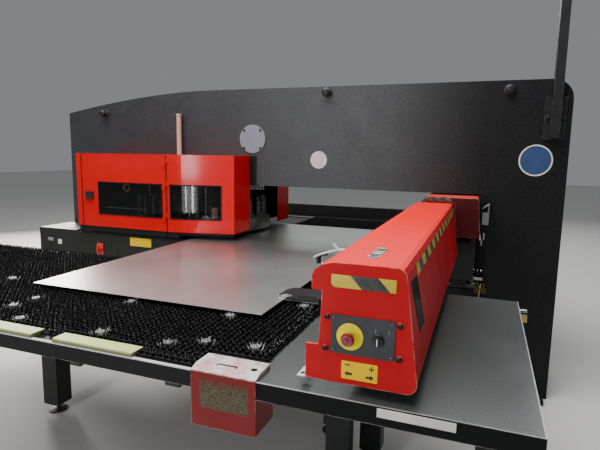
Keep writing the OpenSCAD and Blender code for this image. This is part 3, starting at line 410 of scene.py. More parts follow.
def paint(name, colour, shade, rough, grain, depth, dust=0.0, wear=0.0, worn=(0.5, 0.5, 0.5), specks=0.0,
          patch=0.0, coat=0.0, edge=0.0025, gloss=0.5, top=None, rubbed=()):
    """Paint: colour and shade clouded together, orange peel of a grain per metre and a depth, dust, wear.
    Faces that look up may have their own colour, a painted lit top, and boxes of the object can be rubbed
    bare."""
    made, tree, shader = finish(name)
    at = place(tree)
    body = mix(tree, span(tree, noise(tree, at, 1.7, 4), 0.35, 0.68), colour, shade)
    # painted light: faces that look up take the top colour
    if top:
        body = mix(tree, facing_up(tree), body, top)
    fine = noise(tree, at, grain, 2, 0.6)
    paler = tuple(min(1, c * 1.9 + 0.03) for c in colour)
    body = mix(tree, span(tree, fine, 0.45, 0.75, 0.0, patch), body, paler)
    if specks:
        coarse = noise(tree, at, grain * 0.42, 3, 0.75)
        body = mix(tree, span(tree, coarse, 0.50, 0.66, 0.0, specks), body, GLINT)
        dots = put(tree, "ShaderNodeTexVoronoi", [("Vector", at), ("Scale", grain * 1.6)]).outputs["Distance"]
        body = mix(tree, span(tree, dots, 0.20, 0.06, 0.0, specks), body, SPARK)
    if dust:
        settled = span(tree, noise(tree, at, 5.0, 5), 0.3, 0.75, 0.0, dust)
        body = mix(tree, times(tree, facing_up(tree), settled), body, DUST)
    normal = None
    if wear:
        mask, normal = worn_edges(tree, edge, span(tree, noise(tree, at, 24, 3), 0.42, 0.58, 0.15, wear))
        body = mix(tree, mask, body, worn)
    if rubbed:
        bare = span(tree, noise(tree, at, 30, 4, 0.7), 0.25, 0.45, 0.35, 1.0)
        for axis, low, high in rubbed:
            bare = times(tree, bare, box_mask(tree, at, axis, low, high, 0.0008))
        body = mix(tree, bare, body, worn)
    scuffs = span(tree, noise(tree, at, 6.0, 4, 0.7), 0.3, 0.7, rough - 0.06, rough + 0.08)
    wire(tree, shader, base_color=body, roughness=scuffs, normal=bump(tree, fine, depth, normal),
         specular_ior_level=gloss)
    if coat:
        wire(tree, shader, coat_weight=coat, coat_roughness=0.10)
    return made


print("one recipe serves all paints")

# %% [markdown]
# The bridge is the largest face in the picture, and its grey isn't even: it is darkest at the right
# end, which stands in the shade, and paler to the left, in a sheen of the lamps. Light alone could do
# it, but it would change the red covers too, so both are painted: two colours are mixed in along X,
# and the gloss falls to the right.

# %% Paint of the bridge
frame_paint = paint("frame_paint", (0.0065, 0.0068, 0.0080), (0.010, 0.0105, 0.0125), 0.42, 170, 0.0012,
                    dust=0.12, wear=0.3, worn=(0.04, 0.04, 0.045), specks=0.25, patch=0.16, gloss=0.56)
# painted shade: beyond X 0.9 m the bridge darkens to near black
shade_along(frame_paint, "X", 0.90, 1.40, 0.60, (0.0030, 0.0032, 0.0033))
# painted sheen: left of X 1.05 m the bridge turns paler and bluer
shade_along(frame_paint, "X", 1.05, 0.30, 0.18, (0.060, 0.063, 0.070))
frame_tree = frame_paint.node_tree
right_gloss = span(frame_tree, axis_of(frame_tree, place(frame_tree), "X"), 0.90, 1.50, 0.62, 0.22)
wire(frame_tree, frame_tree.nodes["Principled BSDF"], specular_ior_level=right_gloss)
print("the bridge has", len(frame_tree.nodes), "nodes in its paint")

# %% The other paints
cover_red = paint("cover_red", (0.58, 0.004, 0.006), (0.62, 0.006, 0.008), 0.30, 320, 0.00003,
                  wear=0.2, worn=(0.70, 0.10, 0.08), gloss=0.08, coat=0.25)
# beam_red's top colour is a painted lit top: faces that look up are a brighter red than the sides
beam_red = paint("beam_red", (0.50, 0.012, 0.017), (0.58, 0.020, 0.027), 0.42, 300, 0.00010, edge=0.0035,
                 wear=1.6, worn=(0.95, 0.46, 0.44), gloss=0.06, top=(0.88, 0.016, 0.012))
# hood_red is the red in painted shade: its front is nearly black, and faces that look up get a painted lit
# top
hood_red = paint("hood_red", (0.055, 0.004, 0.005), (0.085, 0.006, 0.008), 0.36, 300, 0.00010, dust=0.05,
                 edge=0.005, wear=1.8, worn=(0.80, 0.30, 0.26), gloss=0.25, top=(0.70, 0.060, 0.050))
cabinet_paint = paint("cabinet_paint", (0.009, 0.010, 0.0095), (0.015, 0.016, 0.015), 0.44, 260, 0.0003,
                      dust=0.2, wear=0.8, worn=(0.16, 0.16, 0.16), patch=0.10, gloss=0.32)
RIM_FACE, RIM_TOP = -2.505, 0.920
# rim_paint's rubbed box is the bright line along the rim's top front edge: bare steel and a painted highlight
rim_paint = paint("rim_paint", (0.005, 0.006, 0.0058), (0.009, 0.0105, 0.010), 0.46, 240, 0.0002,
                  wear=1.2, worn=(0.66, 0.65, 0.64), patch=0.06, gloss=0.14,
                  rubbed=(("Y", RIM_FACE - 0.01, RIM_FACE + 0.013), ("Z", RIM_TOP - 0.0035, RIM_TOP + 0.01)))
table_paint = paint("table_paint", (0.008, 0.009, 0.009), (0.013, 0.014, 0.0135), 0.40, 240, 0.0002,
                    wear=1.0, worn=(0.40, 0.39, 0.38), patch=0.08, gloss=0.28)
leg_paint = paint("leg_paint", (0.012, 0.015, 0.014), (0.022, 0.025, 0.024), 0.42, 240, 0.0002,
                  dust=0.2, wear=0.9, worn=(0.22, 0.22, 0.21), patch=0.1, gloss=0.4)
black_paint = paint("black_paint", (0.009, 0.009, 0.010), (0.015, 0.015, 0.016), 0.40, 260, 0.0002,
                    dust=0.25, wear=0.8, worn=(0.20, 0.20, 0.20), patch=0.1, gloss=0.35)
clamp_black = paint("clamp_black", (0.006, 0.006, 0.0065), (0.015, 0.015, 0.016), 0.40, 90, 0.0004,
                    edge=0.003, wear=1.6, worn=(0.50, 0.49, 0.50), patch=0.15, gloss=0.22)
plate_grey = paint("plate_grey", (0.185, 0.190, 0.235), (0.215, 0.220, 0.265), 0.50, 380, 0.0001, wear=0.4,
                   worn=(0.5, 0.5, 0.53), patch=0.04, gloss=0.3)
copper_coat = paint("copper_coat", (0.60, 0.41, 0.31), (0.50, 0.33, 0.25), 0.5, 120, 0.0002, wear=0.5,
                    worn=(0.75, 0.60, 0.50), patch=0.12)
print("paints", len(bpy.data.materials))

# %% [markdown]
# Hands and sheets rub the smooth plates on the right. Their dark coat is finely speckled and has
# worn to a grey sheen on top. The folded sides are painted nearly black as shade, and where sheets
# slide over the rims the bare steel shows as a thin bright line, partly a painted highlight, which is
# a mask of object coordinates.

# %% Rubbed table plates
PLATE_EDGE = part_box("table_plate_front")[1][0]
BRIGHT_LINE = 0.0035


def bare_and_lit_rims(tree, at):
    """The mask of the bright lines, bare steel and a painted highlight: the front and right edges of the top,
    broken up by a noise.
    """
    fading = span(tree, axis_of(tree, at, "X"), 0.95, 1.25, 1.0, 0.35)
    front = times(tree, box_mask(tree, at, "Y", RIM_FACE - 0.01, RIM_FACE + BRIGHT_LINE, 0.001), fading)
    side = times(tree, box_mask(tree, at, "X", PLATE_EDGE - BRIGHT_LINE, PLATE_EDGE + 0.01, 0.001), 0.8)
    top = box_mask(tree, at, "Z", RIM_TOP - 0.0020, RIM_TOP + 0.01, 0.0008)
    rim = times(tree, math_of(tree, "MAXIMUM", front, side), top)
    return times(tree, rim, span(tree, noise(tree, at, 12, 4, 0.7), 0.30, 0.55, 0.25, 1.0))


def rubbed_plate():
    """Dark speckled coat: specks, a rubbed sheen, sides painted near black as shade, and at the rims a bright
    line of bare steel and painted highlight.
    """
    made, tree, shader = finish("rubbed_plate")
    at = place(tree)
    specks = noise(tree, at, 190, 3, 0.7)
    cloud = noise(tree, at, 2.2, 4)
    body = mix(tree, span(tree, cloud, 0.3, 0.7), (0.047, 0.052, 0.050), (0.066, 0.072, 0.069))
    body = mix(tree, span(tree, specks, 0.50, 0.70, 0.0, 0.40), body, (0.17, 0.18, 0.175))
    # painted shade: faces that don't look up are nearly black
    body = mix(tree, facing_up(tree), (0.0060, 0.0070, 0.0068), body)
    body = mix(tree, bare_and_lit_rims(tree, at), body, (0.62, 0.62, 0.60))
    mask, normal = worn_edges(tree, 0.003, span(tree, noise(tree, at, 18, 3), 0.35, 0.6, 0.3, 1.6))
    body = mix(tree, mask, body, (0.55, 0.55, 0.53))
    duller = times(tree, math_of(tree, "SUBTRACT", 1.0, facing_up(tree)), 0.2)
    rough = math_of(tree, "ADD", span(tree, cloud, 0.3, 0.7, 0.26, 0.34), duller)
    gloss = math_of(tree, "ADD", 0.10, times(tree, facing_up(tree), 0.40))
    wire(tree, shader, base_color=body, roughness=rough, normal=bump(tree, specks, 0.00006, normal),
         specular_ior_level=gloss)
    return made


plate_paint = rubbed_plate()
print("the right plates end at X", round(float(PLATE_EDGE), 3))

# %% [markdown]
# ## Metals
# Rolled sheet shows faint lines in one direction and a soft, wide gloss. Turned discs show the
# tool's circles. Both are the same steel: the lines come from a noise stretched far along one axis.
# The sheet on the tables is greyer towards the bridge, a painted dim reflection, which is one more colour
# mixed in along Y.

# %% Steel in several cuts
UPRIGHT_LINES = (1, 1, 20)


def steel(name, tone, rough, lines, stretch, depth=0.00005, blotch=0.08, stain=(0.32, 0.31, 0.29)):
    """Metal: a tone clouded with blotches, and fine lines from a noise squeezed by stretch."""
    made, tree, shader = finish(name)
    line = noise(tree, place(tree, stretch), lines, 3, 0.7)
    cloud = noise(tree, place(tree), 2.4, 5, 0.6)
    body = mix(tree, span(tree, line, 0.3, 0.7), tuple(c * 0.90 for c in tone), tone)
    body = mix(tree, span(tree, cloud, 0.45, 0.8, 0.0, blotch * 4), body, stain)
    gloss = math_of(tree, "ADD", span(tree, line, 0.3, 0.7, rough - 0.05, rough + 0.06),
                    span(tree, cloud, 0.3, 0.7, -blotch, blotch))
    wire(tree, shader, base_color=body, metallic=1.0, roughness=gloss, normal=bump(tree, line, depth))
    return made


sheet_steel = steel("sheet_steel", (0.86, 0.84, 0.82), 0.37, 30, (40, 0.6, 1), 0.00002, 0.02,
                    (0.80, 0.78, 0.75))
# painted dim reflection: the sheet turns greyer towards the bridge
shade_along(sheet_steel, "Y", -1.2, -0.35, 1.0, (0.215, 0.235, 0.205))
machined_steel = steel("machined_steel", (0.58, 0.58, 0.57), 0.30, 40, (1, 1, 14), 0.00006, 0.07)
ground_steel = steel("ground_steel", (0.62, 0.62, 0.61), 0.24, 50, (1, 12, 1), 0.00003, 0.05)
tool_steel = steel("tool_steel", (0.50, 0.50, 0.50), 0.28, 60, UPRIGHT_LINES, stain=(0.16, 0.15, 0.14))
jaw_steel = steel("jaw_steel", (0.17, 0.165, 0.165), 0.34, 60, UPRIGHT_LINES, stain=(0.10, 0.10, 0.10))
rail_steel = steel("rail_steel", (0.55, 0.55, 0.55), 0.22, 60, (10, 1, 10), 0.00003, 0.05)
brass_metal = steel("brass_metal", (0.50, 0.36, 0.15), 0.30, 60, (1, 1, 8), 0.00006, stain=(0.22, 0.16, 0.07))
dull_brass = steel("dull_brass", (0.10, 0.075, 0.035), 0.34, 60, (1, 1, 8), 0.00006,
                   stain=(0.04, 0.035, 0.02))
dark_steel = steel("dark_steel", (0.20, 0.20, 0.20), 0.36, 40, (1, 1, 6), 0.00008, stain=(0.07, 0.07, 0.07))
print("steels ready")

# %% [markdown]
# ## Plastics, rubber and glass
# Moulded parts have no grain of their own: a very fine bump breaks their gloss. The turret's windows
# are tinted, thick and a little dusty, and the mechanism behind them only glimmers through.

# %% Moulded parts
def moulded(name, colour, rough, grain=700, depth=0.00004, coat=0.0, shift=0.25, gloss=0.5):
    """Plastic or rubber: one colour clouded a little, with a fine bump."""
    made, tree, shader = finish(name)
    at = place(tree)
    cloud = noise(tree, at, 9, 4)
    darker = tuple(c * (1 - shift) for c in colour)
    paler = tuple(min(1, c * (1 + shift) + 0.004) for c in colour)
    body = mix(tree, span(tree, cloud, 0.3, 0.7), darker, paler)
    wire(tree, shader, base_color=body, roughness=span(tree, cloud, 0.3, 0.7, rough - 0.05, rough + 0.07),
         normal=bump(tree, noise(tree, at, grain, 2), depth), specular_ior_level=gloss)
    if coat:
        wire(tree, shader, coat_weight=coat, coat_roughness=0.08)
    return made


black_plastic = moulded("black_plastic", (0.014, 0.014, 0.015), 0.36)
rubber = moulded("rubber", (0.006, 0.006, 0.006), 0.70, 400, 0.0001, gloss=0.2)
belt_rubber = moulded("belt_rubber", (0.016, 0.016, 0.017), 0.55, 200, 0.0002)
stop_red = moulded("stop_red", (0.22, 0.008, 0.018), 0.20, coat=0.6)
switch_red = moulded("switch_red", (0.58, 0.02, 0.015), 0.26, coat=0.4)
signal_yellow = moulded("signal_yellow", (0.98, 0.80, 0.004), 0.36, shift=0.05, gloss=0.06)
hose_white = moulded("hose_white", (0.74, 0.75, 0.72), 0.30, shift=0.06)
panel_grey = moulded("panel_grey", (0.030, 0.034, 0.040), 0.40, shift=0.15)


def rubber_piece(name, part, body="machine"):
    """A piece of black rubber."""
    return piece(name, part, rubber, body)


def tinted_glass(name, least, most):
    """Smoked polycarbonate: mostly dark, a mirror at low angles, with a film of dust. The two numbers
    are how much of it is closed to the view."""
    made, tree, shader = finish(name)
    film = noise(tree, place(tree), 14, 4)
    wire(tree, shader, base_color=(0.006, 0.0065, 0.0065), specular_ior_level=0.6,
         roughness=span(tree, film, 0.3, 0.75, 0.012, 0.035), alpha=span(tree, film, 0.3, 0.7, least, most))
    return made


window_glass = tinted_glass("tinted_glass", 0.38, 0.48)
bent_glass = tinted_glass("bent_glass", 0.34, 0.44)
print("materials", len(bpy.data.materials))

# %% [markdown]
# ## The guard's worn corner and the strips
# The red guard at the table's edge has lost its paint where sheets were dragged over it: its top is
# bare, pink and white by turns, and its front has a grey patch full of dark pits. Both are masks of
# object coordinates: a height for the top, a rectangle for the patch, and ragged noise at the rims.

# %% Worn guard
GUARD_TOP = 0.935
PATCH_X, PATCH_Z = (0.720, 0.891), (0.802, 0.900)


def bare_top(tree, at):
    """The colour of the bare top: pale and pink by turns, with dark rubs drawn out along X."""
    pink = span(tree, noise(tree, at, 20, 4, 0.65), 0.46, 0.58)
    bare = mix(tree, pink, (0.64, 0.62, 0.61), (0.56, 0.30, 0.28))
    rubs = span(tree, noise(tree, place(tree, (1, 4, 1)), 44, 4, 0.75), 0.56, 0.70, 0.0, 0.6)
    return mix(tree, rubs, bare, (0.30, 0.28, 0.26))


def pitted_patch(tree, at, wobble, grit):
    """The colour of the patch: grit, dark pits, and a red shadow under its upper rim."""
    stone = mix(tree, span(tree, grit, 0.42, 0.62), (0.020, 0.016, 0.010), (0.205, 0.175, 0.110))
    pits = span(tree, noise(tree, at, 60, 3, 0.6), 0.56, 0.68, 0.0, 0.7)
    stone = mix(tree, pits, stone, (0.030, 0.024, 0.015))
    high = span(tree, axis_of(tree, wobble, "Z"), PATCH_Z[1] - 0.030, PATCH_Z[1], 0.0, 0.75)
    return mix(tree, high, stone, (0.16, 0.010, 0.008))


def worn_guard():
    """Red paint, bare at the top edge and over a pitted rectangle on the front."""
    made, tree, shader = finish("worn_guard")
    at = place(tree)
    ragged = noise(tree, at, 38, 5, 0.7)
    shake = put(tree, "ShaderNodeTexNoise", [("Vector", at), ("Scale", 40.0)]).outputs["Color"]
    wobble = mix(tree, 0.006, at, shake)
    grit = noise(tree, at, 260, 4, 0.85)
    red = mix(tree, noise(tree, at, 6, 3), (0.150, 0.005, 0.005), (0.215, 0.009, 0.008))
    top = box_mask(tree, wobble, "Z", GUARD_TOP - 0.0150, GUARD_TOP + 0.05, 0.002)
    body = mix(tree, top, red, bare_top(tree, at))
    patch = times(tree, box_mask(tree, wobble, "X", *PATCH_X, 0.003),
                  box_mask(tree, wobble, "Z", *PATCH_Z, 0.003))
    patch = times(tree, patch, span(tree, ragged, 0.25, 0.34))
    body = mix(tree, patch, body, pitted_patch(tree, at, wobble, grit))
    mask, normal = worn_edges(tree, 0.003, span(tree, ragged, 0.4, 0.55, 0.1, 1.2))
    body = mix(tree, mask, body, (0.64, 0.58, 0.56))
    rough = math_of(tree, "ADD", 0.34, times(tree, patch, 0.4))
    wire(tree, shader, base_color=body, roughness=rough, specular_ior_level=0.25,
         normal=bump(tree, times(tree, patch, grit), 0.0008, normal))
    return made


def edge_strip_finish():
    """Yellow-green plastic on top, darker and beige on the side."""
    made, tree, shader = finish("edge_strip")
    dirt = noise(tree, place(tree), 30, 5, 0.7)
    top = mix(tree, span(tree, dirt, 0.4, 0.7), (0.50, 0.64, 0.17), (0.62, 0.72, 0.30))
    body = mix(tree, facing_up(tree), (0.17, 0.17, 0.09), top)
    body = mix(tree, span(tree, dirt, 0.60, 0.72, 0.0, 0.6), body, (0.16, 0.17, 0.07))
    wire(tree, shader, base_color=body, roughness=0.5, normal=bump(tree, dirt, 0.0006))
    return made


guard_finish = worn_guard()
strip_finish = edge_strip_finish()
print("guard and strips have their own finishes")

# %% [markdown]
# ## Which node wears which finish
# The CAD nodes stay as they are. Each one only gets a material in its slot. One table of finishes and
# node names is easier to read and to check than sixty assignments, and it prints what it forgot.

# %% Finish of every CAD node
wears = {
    frame_paint: "bridge_frame ram_housing",
    cover_red: "turret_cover_front turret_cover_rear turret_door",
    beam_red: "beam_cover_front beam_cover_rear",
    hood_red: "beam_hood",
    cabinet_paint: "base_cabinet_front base_cabinet_rear",
    rim_paint: "table_brush_front",
    table_paint: "table_brush_rear centre_tables",
    plate_paint: "table_plate_front table_plate_rear",
    leg_paint: "table_legs table_feet y_bearings",
    clamp_black: "clamp_arms",
    black_paint: "lifting_studs mast mast_bracket saddle beam x_motor y_motor",
    dark_steel: "carriage y_rails upper_turret punch_holders",
    plate_grey: "access_cover",
    copper_coat: "breather_pipe",
    machined_steel: "turret_post_upper turret_post_lower lower_turret y_motor_pulley",
    tool_steel: "striker x_pinion",
    # The dies wear the dark jaw steel as painted shade: they stand in the dark gap under the covers
    jaw_steel: "clamp_jaws dies",
    ground_steel: "ram y_screw",
    rail_steel: "x_rails x_rack",
    sheet_steel: "work_sheet",
    window_glass: "door_window",
    bent_glass: "bent_window",
    black_plastic: "door_latch selector_knob",
    panel_grey: "control_panel",
    stop_red: "stop_button",
    switch_red: "mains_switch_plate mains_switch_knob",
    belt_rubber: "y_belt",
    hose_white: "clamp_hoses",
    strip_finish: "edge_strips",
    guard_finish: "guard_box",
    dull_brass: "air_fittings",
    rubber: "brushes_front brushes_rear",
}
dressed = set()
for material, names in wears.items():
    for node_name in names.split():
        mesh = nodes[node_name].data
        mesh.materials.clear()
        mesh.materials.append(material)
        mesh.polygons.foreach_set("material_index", np.zeros(len(mesh.polygons), np.int32))
        dressed.add(node_name)
print("nodes without a finish:", sorted(set(nodes) - dressed))

# %% [markdown]
# ## Brush tables
# The sheet slides on thousands of nylon tufts. On the machine each strip is a moulded holder with
# two rows of bundles whose bristles spread at the tip. A particle system could scatter them, but a
# mesh can be exported, so one tuft is a small star: a narrow foot, four tips that lean outwards and
# a dip between them. A whole field is one array: the star, turned and leaned by seeded numbers, is
# added to every place of a grid.

# %% The tuft and its field
STRIP_PITCH = 0.051
TUFT_PITCH = STRIP_PITCH / 2
TUFT_FOOT, TUFT_TIP, TUFT_DIP = 0.0042, 0.0112, 0.0052
FOOT_HEIGHT, HEART_HEIGHT, DIP_HEIGHT, TIP_HEIGHT = 0.0008, 0.0120, 0.0150, 0.0222
TUFT_LEAN = 0.0016
CORNERS = 8
TABLE_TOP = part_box("table_plate_front")[1][2]
STRIP_SPANS, STRIP_Y = ((-0.383, 0.002), (0.104, 0.455)), (-2.503, -2.438)
dice = np.random.default_rng(7)


def tuft_places(x_span, y_span):
    """A grid of places a pitch apart, without those where an edge strip lies."""
    x = np.arange(x_span[0] + TUFT_PITCH / 2, x_span[1], TUFT_PITCH)
    y = np.arange(y_span[0] + TUFT_PITCH / 2, y_span[1], TUFT_PITCH)
    x, y = (v.ravel() for v in np.meshgrid(x, y))
    under = [(x > a - 0.012) & (x < b + 0.012) & (y < STRIP_Y[1] + 0.004) for a, b in STRIP_SPANS]
    clear = ~np.any(under, 0)
    return np.stack([x[clear], y[clear], np.full(clear.sum(), TABLE_TOP)], -1)


def tufts(x_span, y_span):
    """Stars on a grid: eight foot points on a circle, eight rim points whose radius and height swap
    between tip and dip, and one point in the heart. Each star turns by its own angle and leans."""
    places = tuft_places(x_span, y_span)
    count = len(places)
    turn = dice.uniform(0, np.pi / 2, count)[:, None] + np.arange(CORNERS) * 2 * np.pi / CORNERS
    tip = np.arange(CORNERS) % 2 == 0
    wide = np.where(tip, TUFT_TIP, TUFT_DIP) * dice.uniform(0.85, 1.12, (count, CORNERS))
    tall = np.where(tip, TIP_HEIGHT, DIP_HEIGHT) * dice.uniform(0.90, 1.0, (count, CORNERS))
    lean = dice.normal(0, TUFT_LEAN, (count, 1, 2))
    out = np.stack([np.cos(turn), np.sin(turn)], -1)
    low = np.concatenate([out * TUFT_FOOT, np.full((count, CORNERS, 1), FOOT_HEIGHT)], -1)
    high = np.concatenate([out * wide[..., None] + lean, tall[..., None]], -1)
    heart = np.concatenate([lean, np.full((count, 1, 1), HEART_HEIGHT)], -1)
    star = np.concatenate([low, high, heart], 1) + places[:, None]
    a = np.arange(CORNERS)
    b = (a + 1) % CORNERS
    middle = np.full(CORNERS, 2 * CORNERS)
    faces = [np.stack([a, b, b + CORNERS, a + CORNERS], -1), np.stack([a + CORNERS, b + CORNERS, middle], -1),
             a[::-1][None]]
    starts = (np.arange(count) * (2 * CORNERS + 1))[:, None, None]
    return star.reshape(-1, 3), [(f[None] + starts).reshape(-1, f.shape[1]) for f in faces]


def holders(x_span, y_span):
    """The strips under the tufts: one six-sided profile along X for each row, shifted by the pitch."""
    gap, chamfer, low, top = 0.003, 0.003, 0.0004, 0.0065
    half = min(STRIP_PITCH, y_span[1] - y_span[0]) / 2 - gap
    profile = np.array([(-half, low), (half, low), (half, top - 0.002), (half - chamfer, top),
                        (-half + chamfer, top), (-half, top - 0.002)])
    rows = np.arange(y_span[0] + half + gap, y_span[1], STRIP_PITCH)
    return repeat(drawn_along_x(profile + (0, TABLE_TOP), x_span), np.c_[rows * 0, rows, rows * 0])


def field(x_span, y_span):
    """Holders and tufts of one rectangle."""
    return join(tufts(x_span, y_span), holders(x_span, y_span))


print("one tuft has", 2 * CORNERS + CORNERS + CORNERS - 2, "triangles")

# %% Bristles
FRONT_EDGE, GUARD_EDGE, BACK_EDGE = -2.457, -2.355, -1.284


def bristle_finish():
    """Black nylon, grey at the tips where sheets rub; paler at the front rim, and whitish in spots at the
    right as a painted highlight of light from behind.
    """
    made, tree, shader = finish("bristles")
    at = place(tree)
    tip = span(tree, axis_of(tree, at, "Z"), TABLE_TOP + 0.016, TABLE_TOP + 0.023)
    rub = span(tree, noise(tree, at, 7, 4), 0.40, 0.70, 0.2, 1.0)
    clouds = span(tree, noise(tree, at, 60, 2), 0.50, 0.60)
    # painted highlight: whitish tips right of X 0.8 m, lit from behind
    pale = times(tree, span(tree, axis_of(tree, at, "X"), 0.80, 0.90), clouds)
    edge = span(tree, axis_of(tree, at, "Y"), FRONT_EDGE + 0.060, FRONT_EDGE + 0.030, 0.0, 0.8)
    body = mix(tree, times(tree, tip, rub), (0.0016, 0.0018, 0.0018), (0.012, 0.013, 0.013))
    body = mix(tree, times(tree, tip, edge), body, (0.13, 0.135, 0.14))
    body = mix(tree, times(tree, tip, pale), body, (0.80, 0.82, 0.80))
    wire(tree, shader, base_color=body, roughness=0.55, specular_ior_level=0.14,
         normal=bump(tree, noise(tree, at, 900, 2), 0.0002))
    return made


bristles = bristle_finish()
print("bristles start at Y", FRONT_EDGE)

# %% Brush fields
front_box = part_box("brushes_front")
WEST, EAST = front_box[0][0], front_box[1][0]
CENTRE_WEST, GUARD_WEST = -0.170, 0.680
CENTRE_Y, REAR_Y = (0.450, 1.252), (1.374, 2.445)

front_fields = join(field((WEST, EAST), (GUARD_EDGE, BACK_EDGE)),
                    field((WEST, GUARD_WEST), (FRONT_EDGE, GUARD_EDGE)),
                    field((STRIP_SPANS[1][1], GUARD_WEST), (FRONT_EDGE - TUFT_PITCH, FRONT_EDGE)),
                    field((CENTRE_WEST, EAST), (-CENTRE_Y[1], -CENTRE_Y[0])))
rear_fields = join(field((WEST, EAST), REAR_Y), field((CENTRE_WEST, EAST), CENTRE_Y))
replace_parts(piece("brush_field_front", front_fields, bristles, weld=False), "brushes_front")
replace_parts(piece("brush_field_rear", rear_fields, bristles, weld=False), "brushes_rear")

# %% [markdown]
# The yellow-green strips at the front rim guide a sheet as it is laid down. They are one profile in Y
# and Z drawn along X: a strip rests on the rim, its front corner is cut off, and its rear reaches over
# the first brush holders. Drawing the profile keeps that step, which a bevelled box would lose.

# %% Edge strips
STRIP_TOP, STRIP_SEAT, HOLDER_TOP = TABLE_TOP + 0.0155, TABLE_TOP + 0.0003, TABLE_TOP + 0.0070
HOLDER_FACE = FRONT_EDGE - 0.0005
strip_profile = np.array([(STRIP_Y[0], STRIP_SEAT), (STRIP_Y[0], STRIP_TOP - 0.0040),
                          (STRIP_Y[0] + 0.0040, STRIP_TOP), (STRIP_Y[1] - 0.0025, STRIP_TOP),
                          (STRIP_Y[1], STRIP_TOP - 0.0025), (STRIP_Y[1], HOLDER_TOP),
                          (HOLDER_FACE, HOLDER_TOP), (HOLDER_FACE, STRIP_SEAT)])
strips = join(*[drawn_along_x(strip_profile, ends) for ends in STRIP_SPANS])
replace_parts(piece("edge_strips_wide", strips, strip_finish, soften=0.0008), "edge_strips")

# %% [markdown]
# ## Ball units
# Among the tufts stand hard steel balls in rubbed cups. They carry the weight of a heavy sheet, and
# the tufts round them are rubbed to a dusty white. The ball and the cup are turned profiles; the
# white tufts are thin blades, each of four corners, on a ragged circle.

# %% Balls in their cups
BALL_PLACES = [(-0.181, -2.393), (-0.354, -2.166), (-0.354, -2.279), (0.218, -2.388), (0.070, -2.032),
               (0.513, -2.377), (0.629, -2.313), (0.815, -2.292), (0.570, -2.024), (0.812, -1.776),
               (-0.900, -2.280), (-1.420, -2.050), (-1.300, -2.390), (-0.760, -1.950)]
BALL_RADIUS, BALL_TOP = 0.0100, 0.0230
CUP_RADIUS, CUP_TOP = 0.018, 0.021

dome = np.linspace(-np.pi / 3, np.pi / 2 - 0.02, 10)
ball_profile = np.c_[BALL_RADIUS * np.cos(dome), BALL_TOP - BALL_RADIUS + BALL_RADIUS * np.sin(dome)]
cup_profile = [(CUP_RADIUS, 0.0008), (CUP_RADIUS, CUP_TOP - 0.002), (CUP_RADIUS - 0.002, CUP_TOP),
               (0.0120, CUP_TOP), (0.0108, CUP_TOP - 0.002)]
ball_spots = np.array([(x, y, TABLE_TOP) for x, y in BALL_PLACES])
white_tips = moulded("rubbed_tips", (0.62, 0.63, 0.62), 0.5, shift=0.5)
cup_grey = moulded("cup_grey", (0.17, 0.17, 0.165), 0.4, shift=0.5)
piece("ball_units", repeat(turned(ball_profile, 16), ball_spots), jaw_steel)
piece("ball_cups", repeat(turned(cup_profile, 16), ball_spots), cup_grey)

# %% Rubbed tufts round the balls
ROUND_TUFTS = 15
BLADE_REACH, BLADE_HEIGHT, BLADE_FOOT, BLADE_HALF = (0.022, 0.036), (0.018, 0.0285), 0.004, 0.003


def crown_of_tufts():
    """Thin blades on a circle round each ball: a foot, a waist and a tip that leans outwards."""
    step = np.arange(ROUND_TUFTS) * 2 * np.pi / ROUND_TUFTS
    angle = step[None] + dice.uniform(0, 1, (len(ball_spots), ROUND_TUFTS))
    out = np.stack([np.cos(angle), np.sin(angle), 0 * angle], -1)
    side = np.stack([-np.sin(angle), np.cos(angle), 0 * angle], -1) * BLADE_HALF
    rise = np.array([0, 0, 1.0])
    reach = dice.uniform(*BLADE_REACH, angle.shape)[..., None]
    height = dice.uniform(*BLADE_HEIGHT, angle.shape)[..., None]
    foot = out * (reach - 0.006) + rise * BLADE_FOOT
    corners = [foot + side, foot - side, out * (reach - 0.001) + rise * BLADE_FOOT,
               out * (reach + 0.004) + rise * height]
    points = np.stack(corners, 2) + ball_spots[:, None, None]
    starts = np.arange(angle.size)[:, None, None] * len(corners)
    faces = np.array([(0, 2, 1), (0, 1, 3), (1, 2, 3), (2, 0, 3)])
    return points.reshape(-1, 3), [(faces[None] + starts).reshape(-1, 3)]


piece("rubbed_tufts", crown_of_tufts(), white_tips)

# %% [markdown]
# The guard's top has a slot whose two ends turn forward, and a round hole. They could be cut, but the
# guard is a CAD node whose mesh stays as it is, and from above both are just dark: so they are dark
# linings two tenths of a millimetre thick, laid on its top, a painted shade of the openings. Two tabs
# hang under the table's front rim.

# %% The guard's openings and the tabs under the rim
LINING = (GUARD_TOP + 0.0001, GUARD_TOP + 0.0003)
HOLE_T, HOLE_EDGE = 0.0002, 0.00005
SLOT_X, SLOT_END = (0.7620, 0.8340), 0.0045
SLOT_Y, SLOT_FOOT, HOLE_X, HOLE_RADIUS = (-2.4670, -2.4583), (-2.4770, -2.4672), 0.890, 0.0110
TAB_X, TAB_Y, TAB_Z = ((0.180, 0.226), (0.584, 0.640)), (-2.500, -2.430), (0.846, 0.8616)

slot_ends = [block(x, SLOT_FOOT, LINING) for x in ((SLOT_X[0], SLOT_X[0] + SLOT_END),
                                                  (SLOT_X[1] - SLOT_END, SLOT_X[1]))]
hole = facing_sky(plate(ring(HOLE_RADIUS, 24), HOLE_T, HOLE_EDGE), HOLE_X, SLOT_Y[1], LINING[0])
# painted shade: the slot and the hole are dark linings, not cut
rubber_piece("guard_openings", join(block(SLOT_X, SLOT_Y, LINING), *slot_ends, hole))
tabs = join(*[block(x, TAB_Y, TAB_Z) for x in TAB_X])
piece("rim_tabs", tabs, black_paint, soften=0.001)

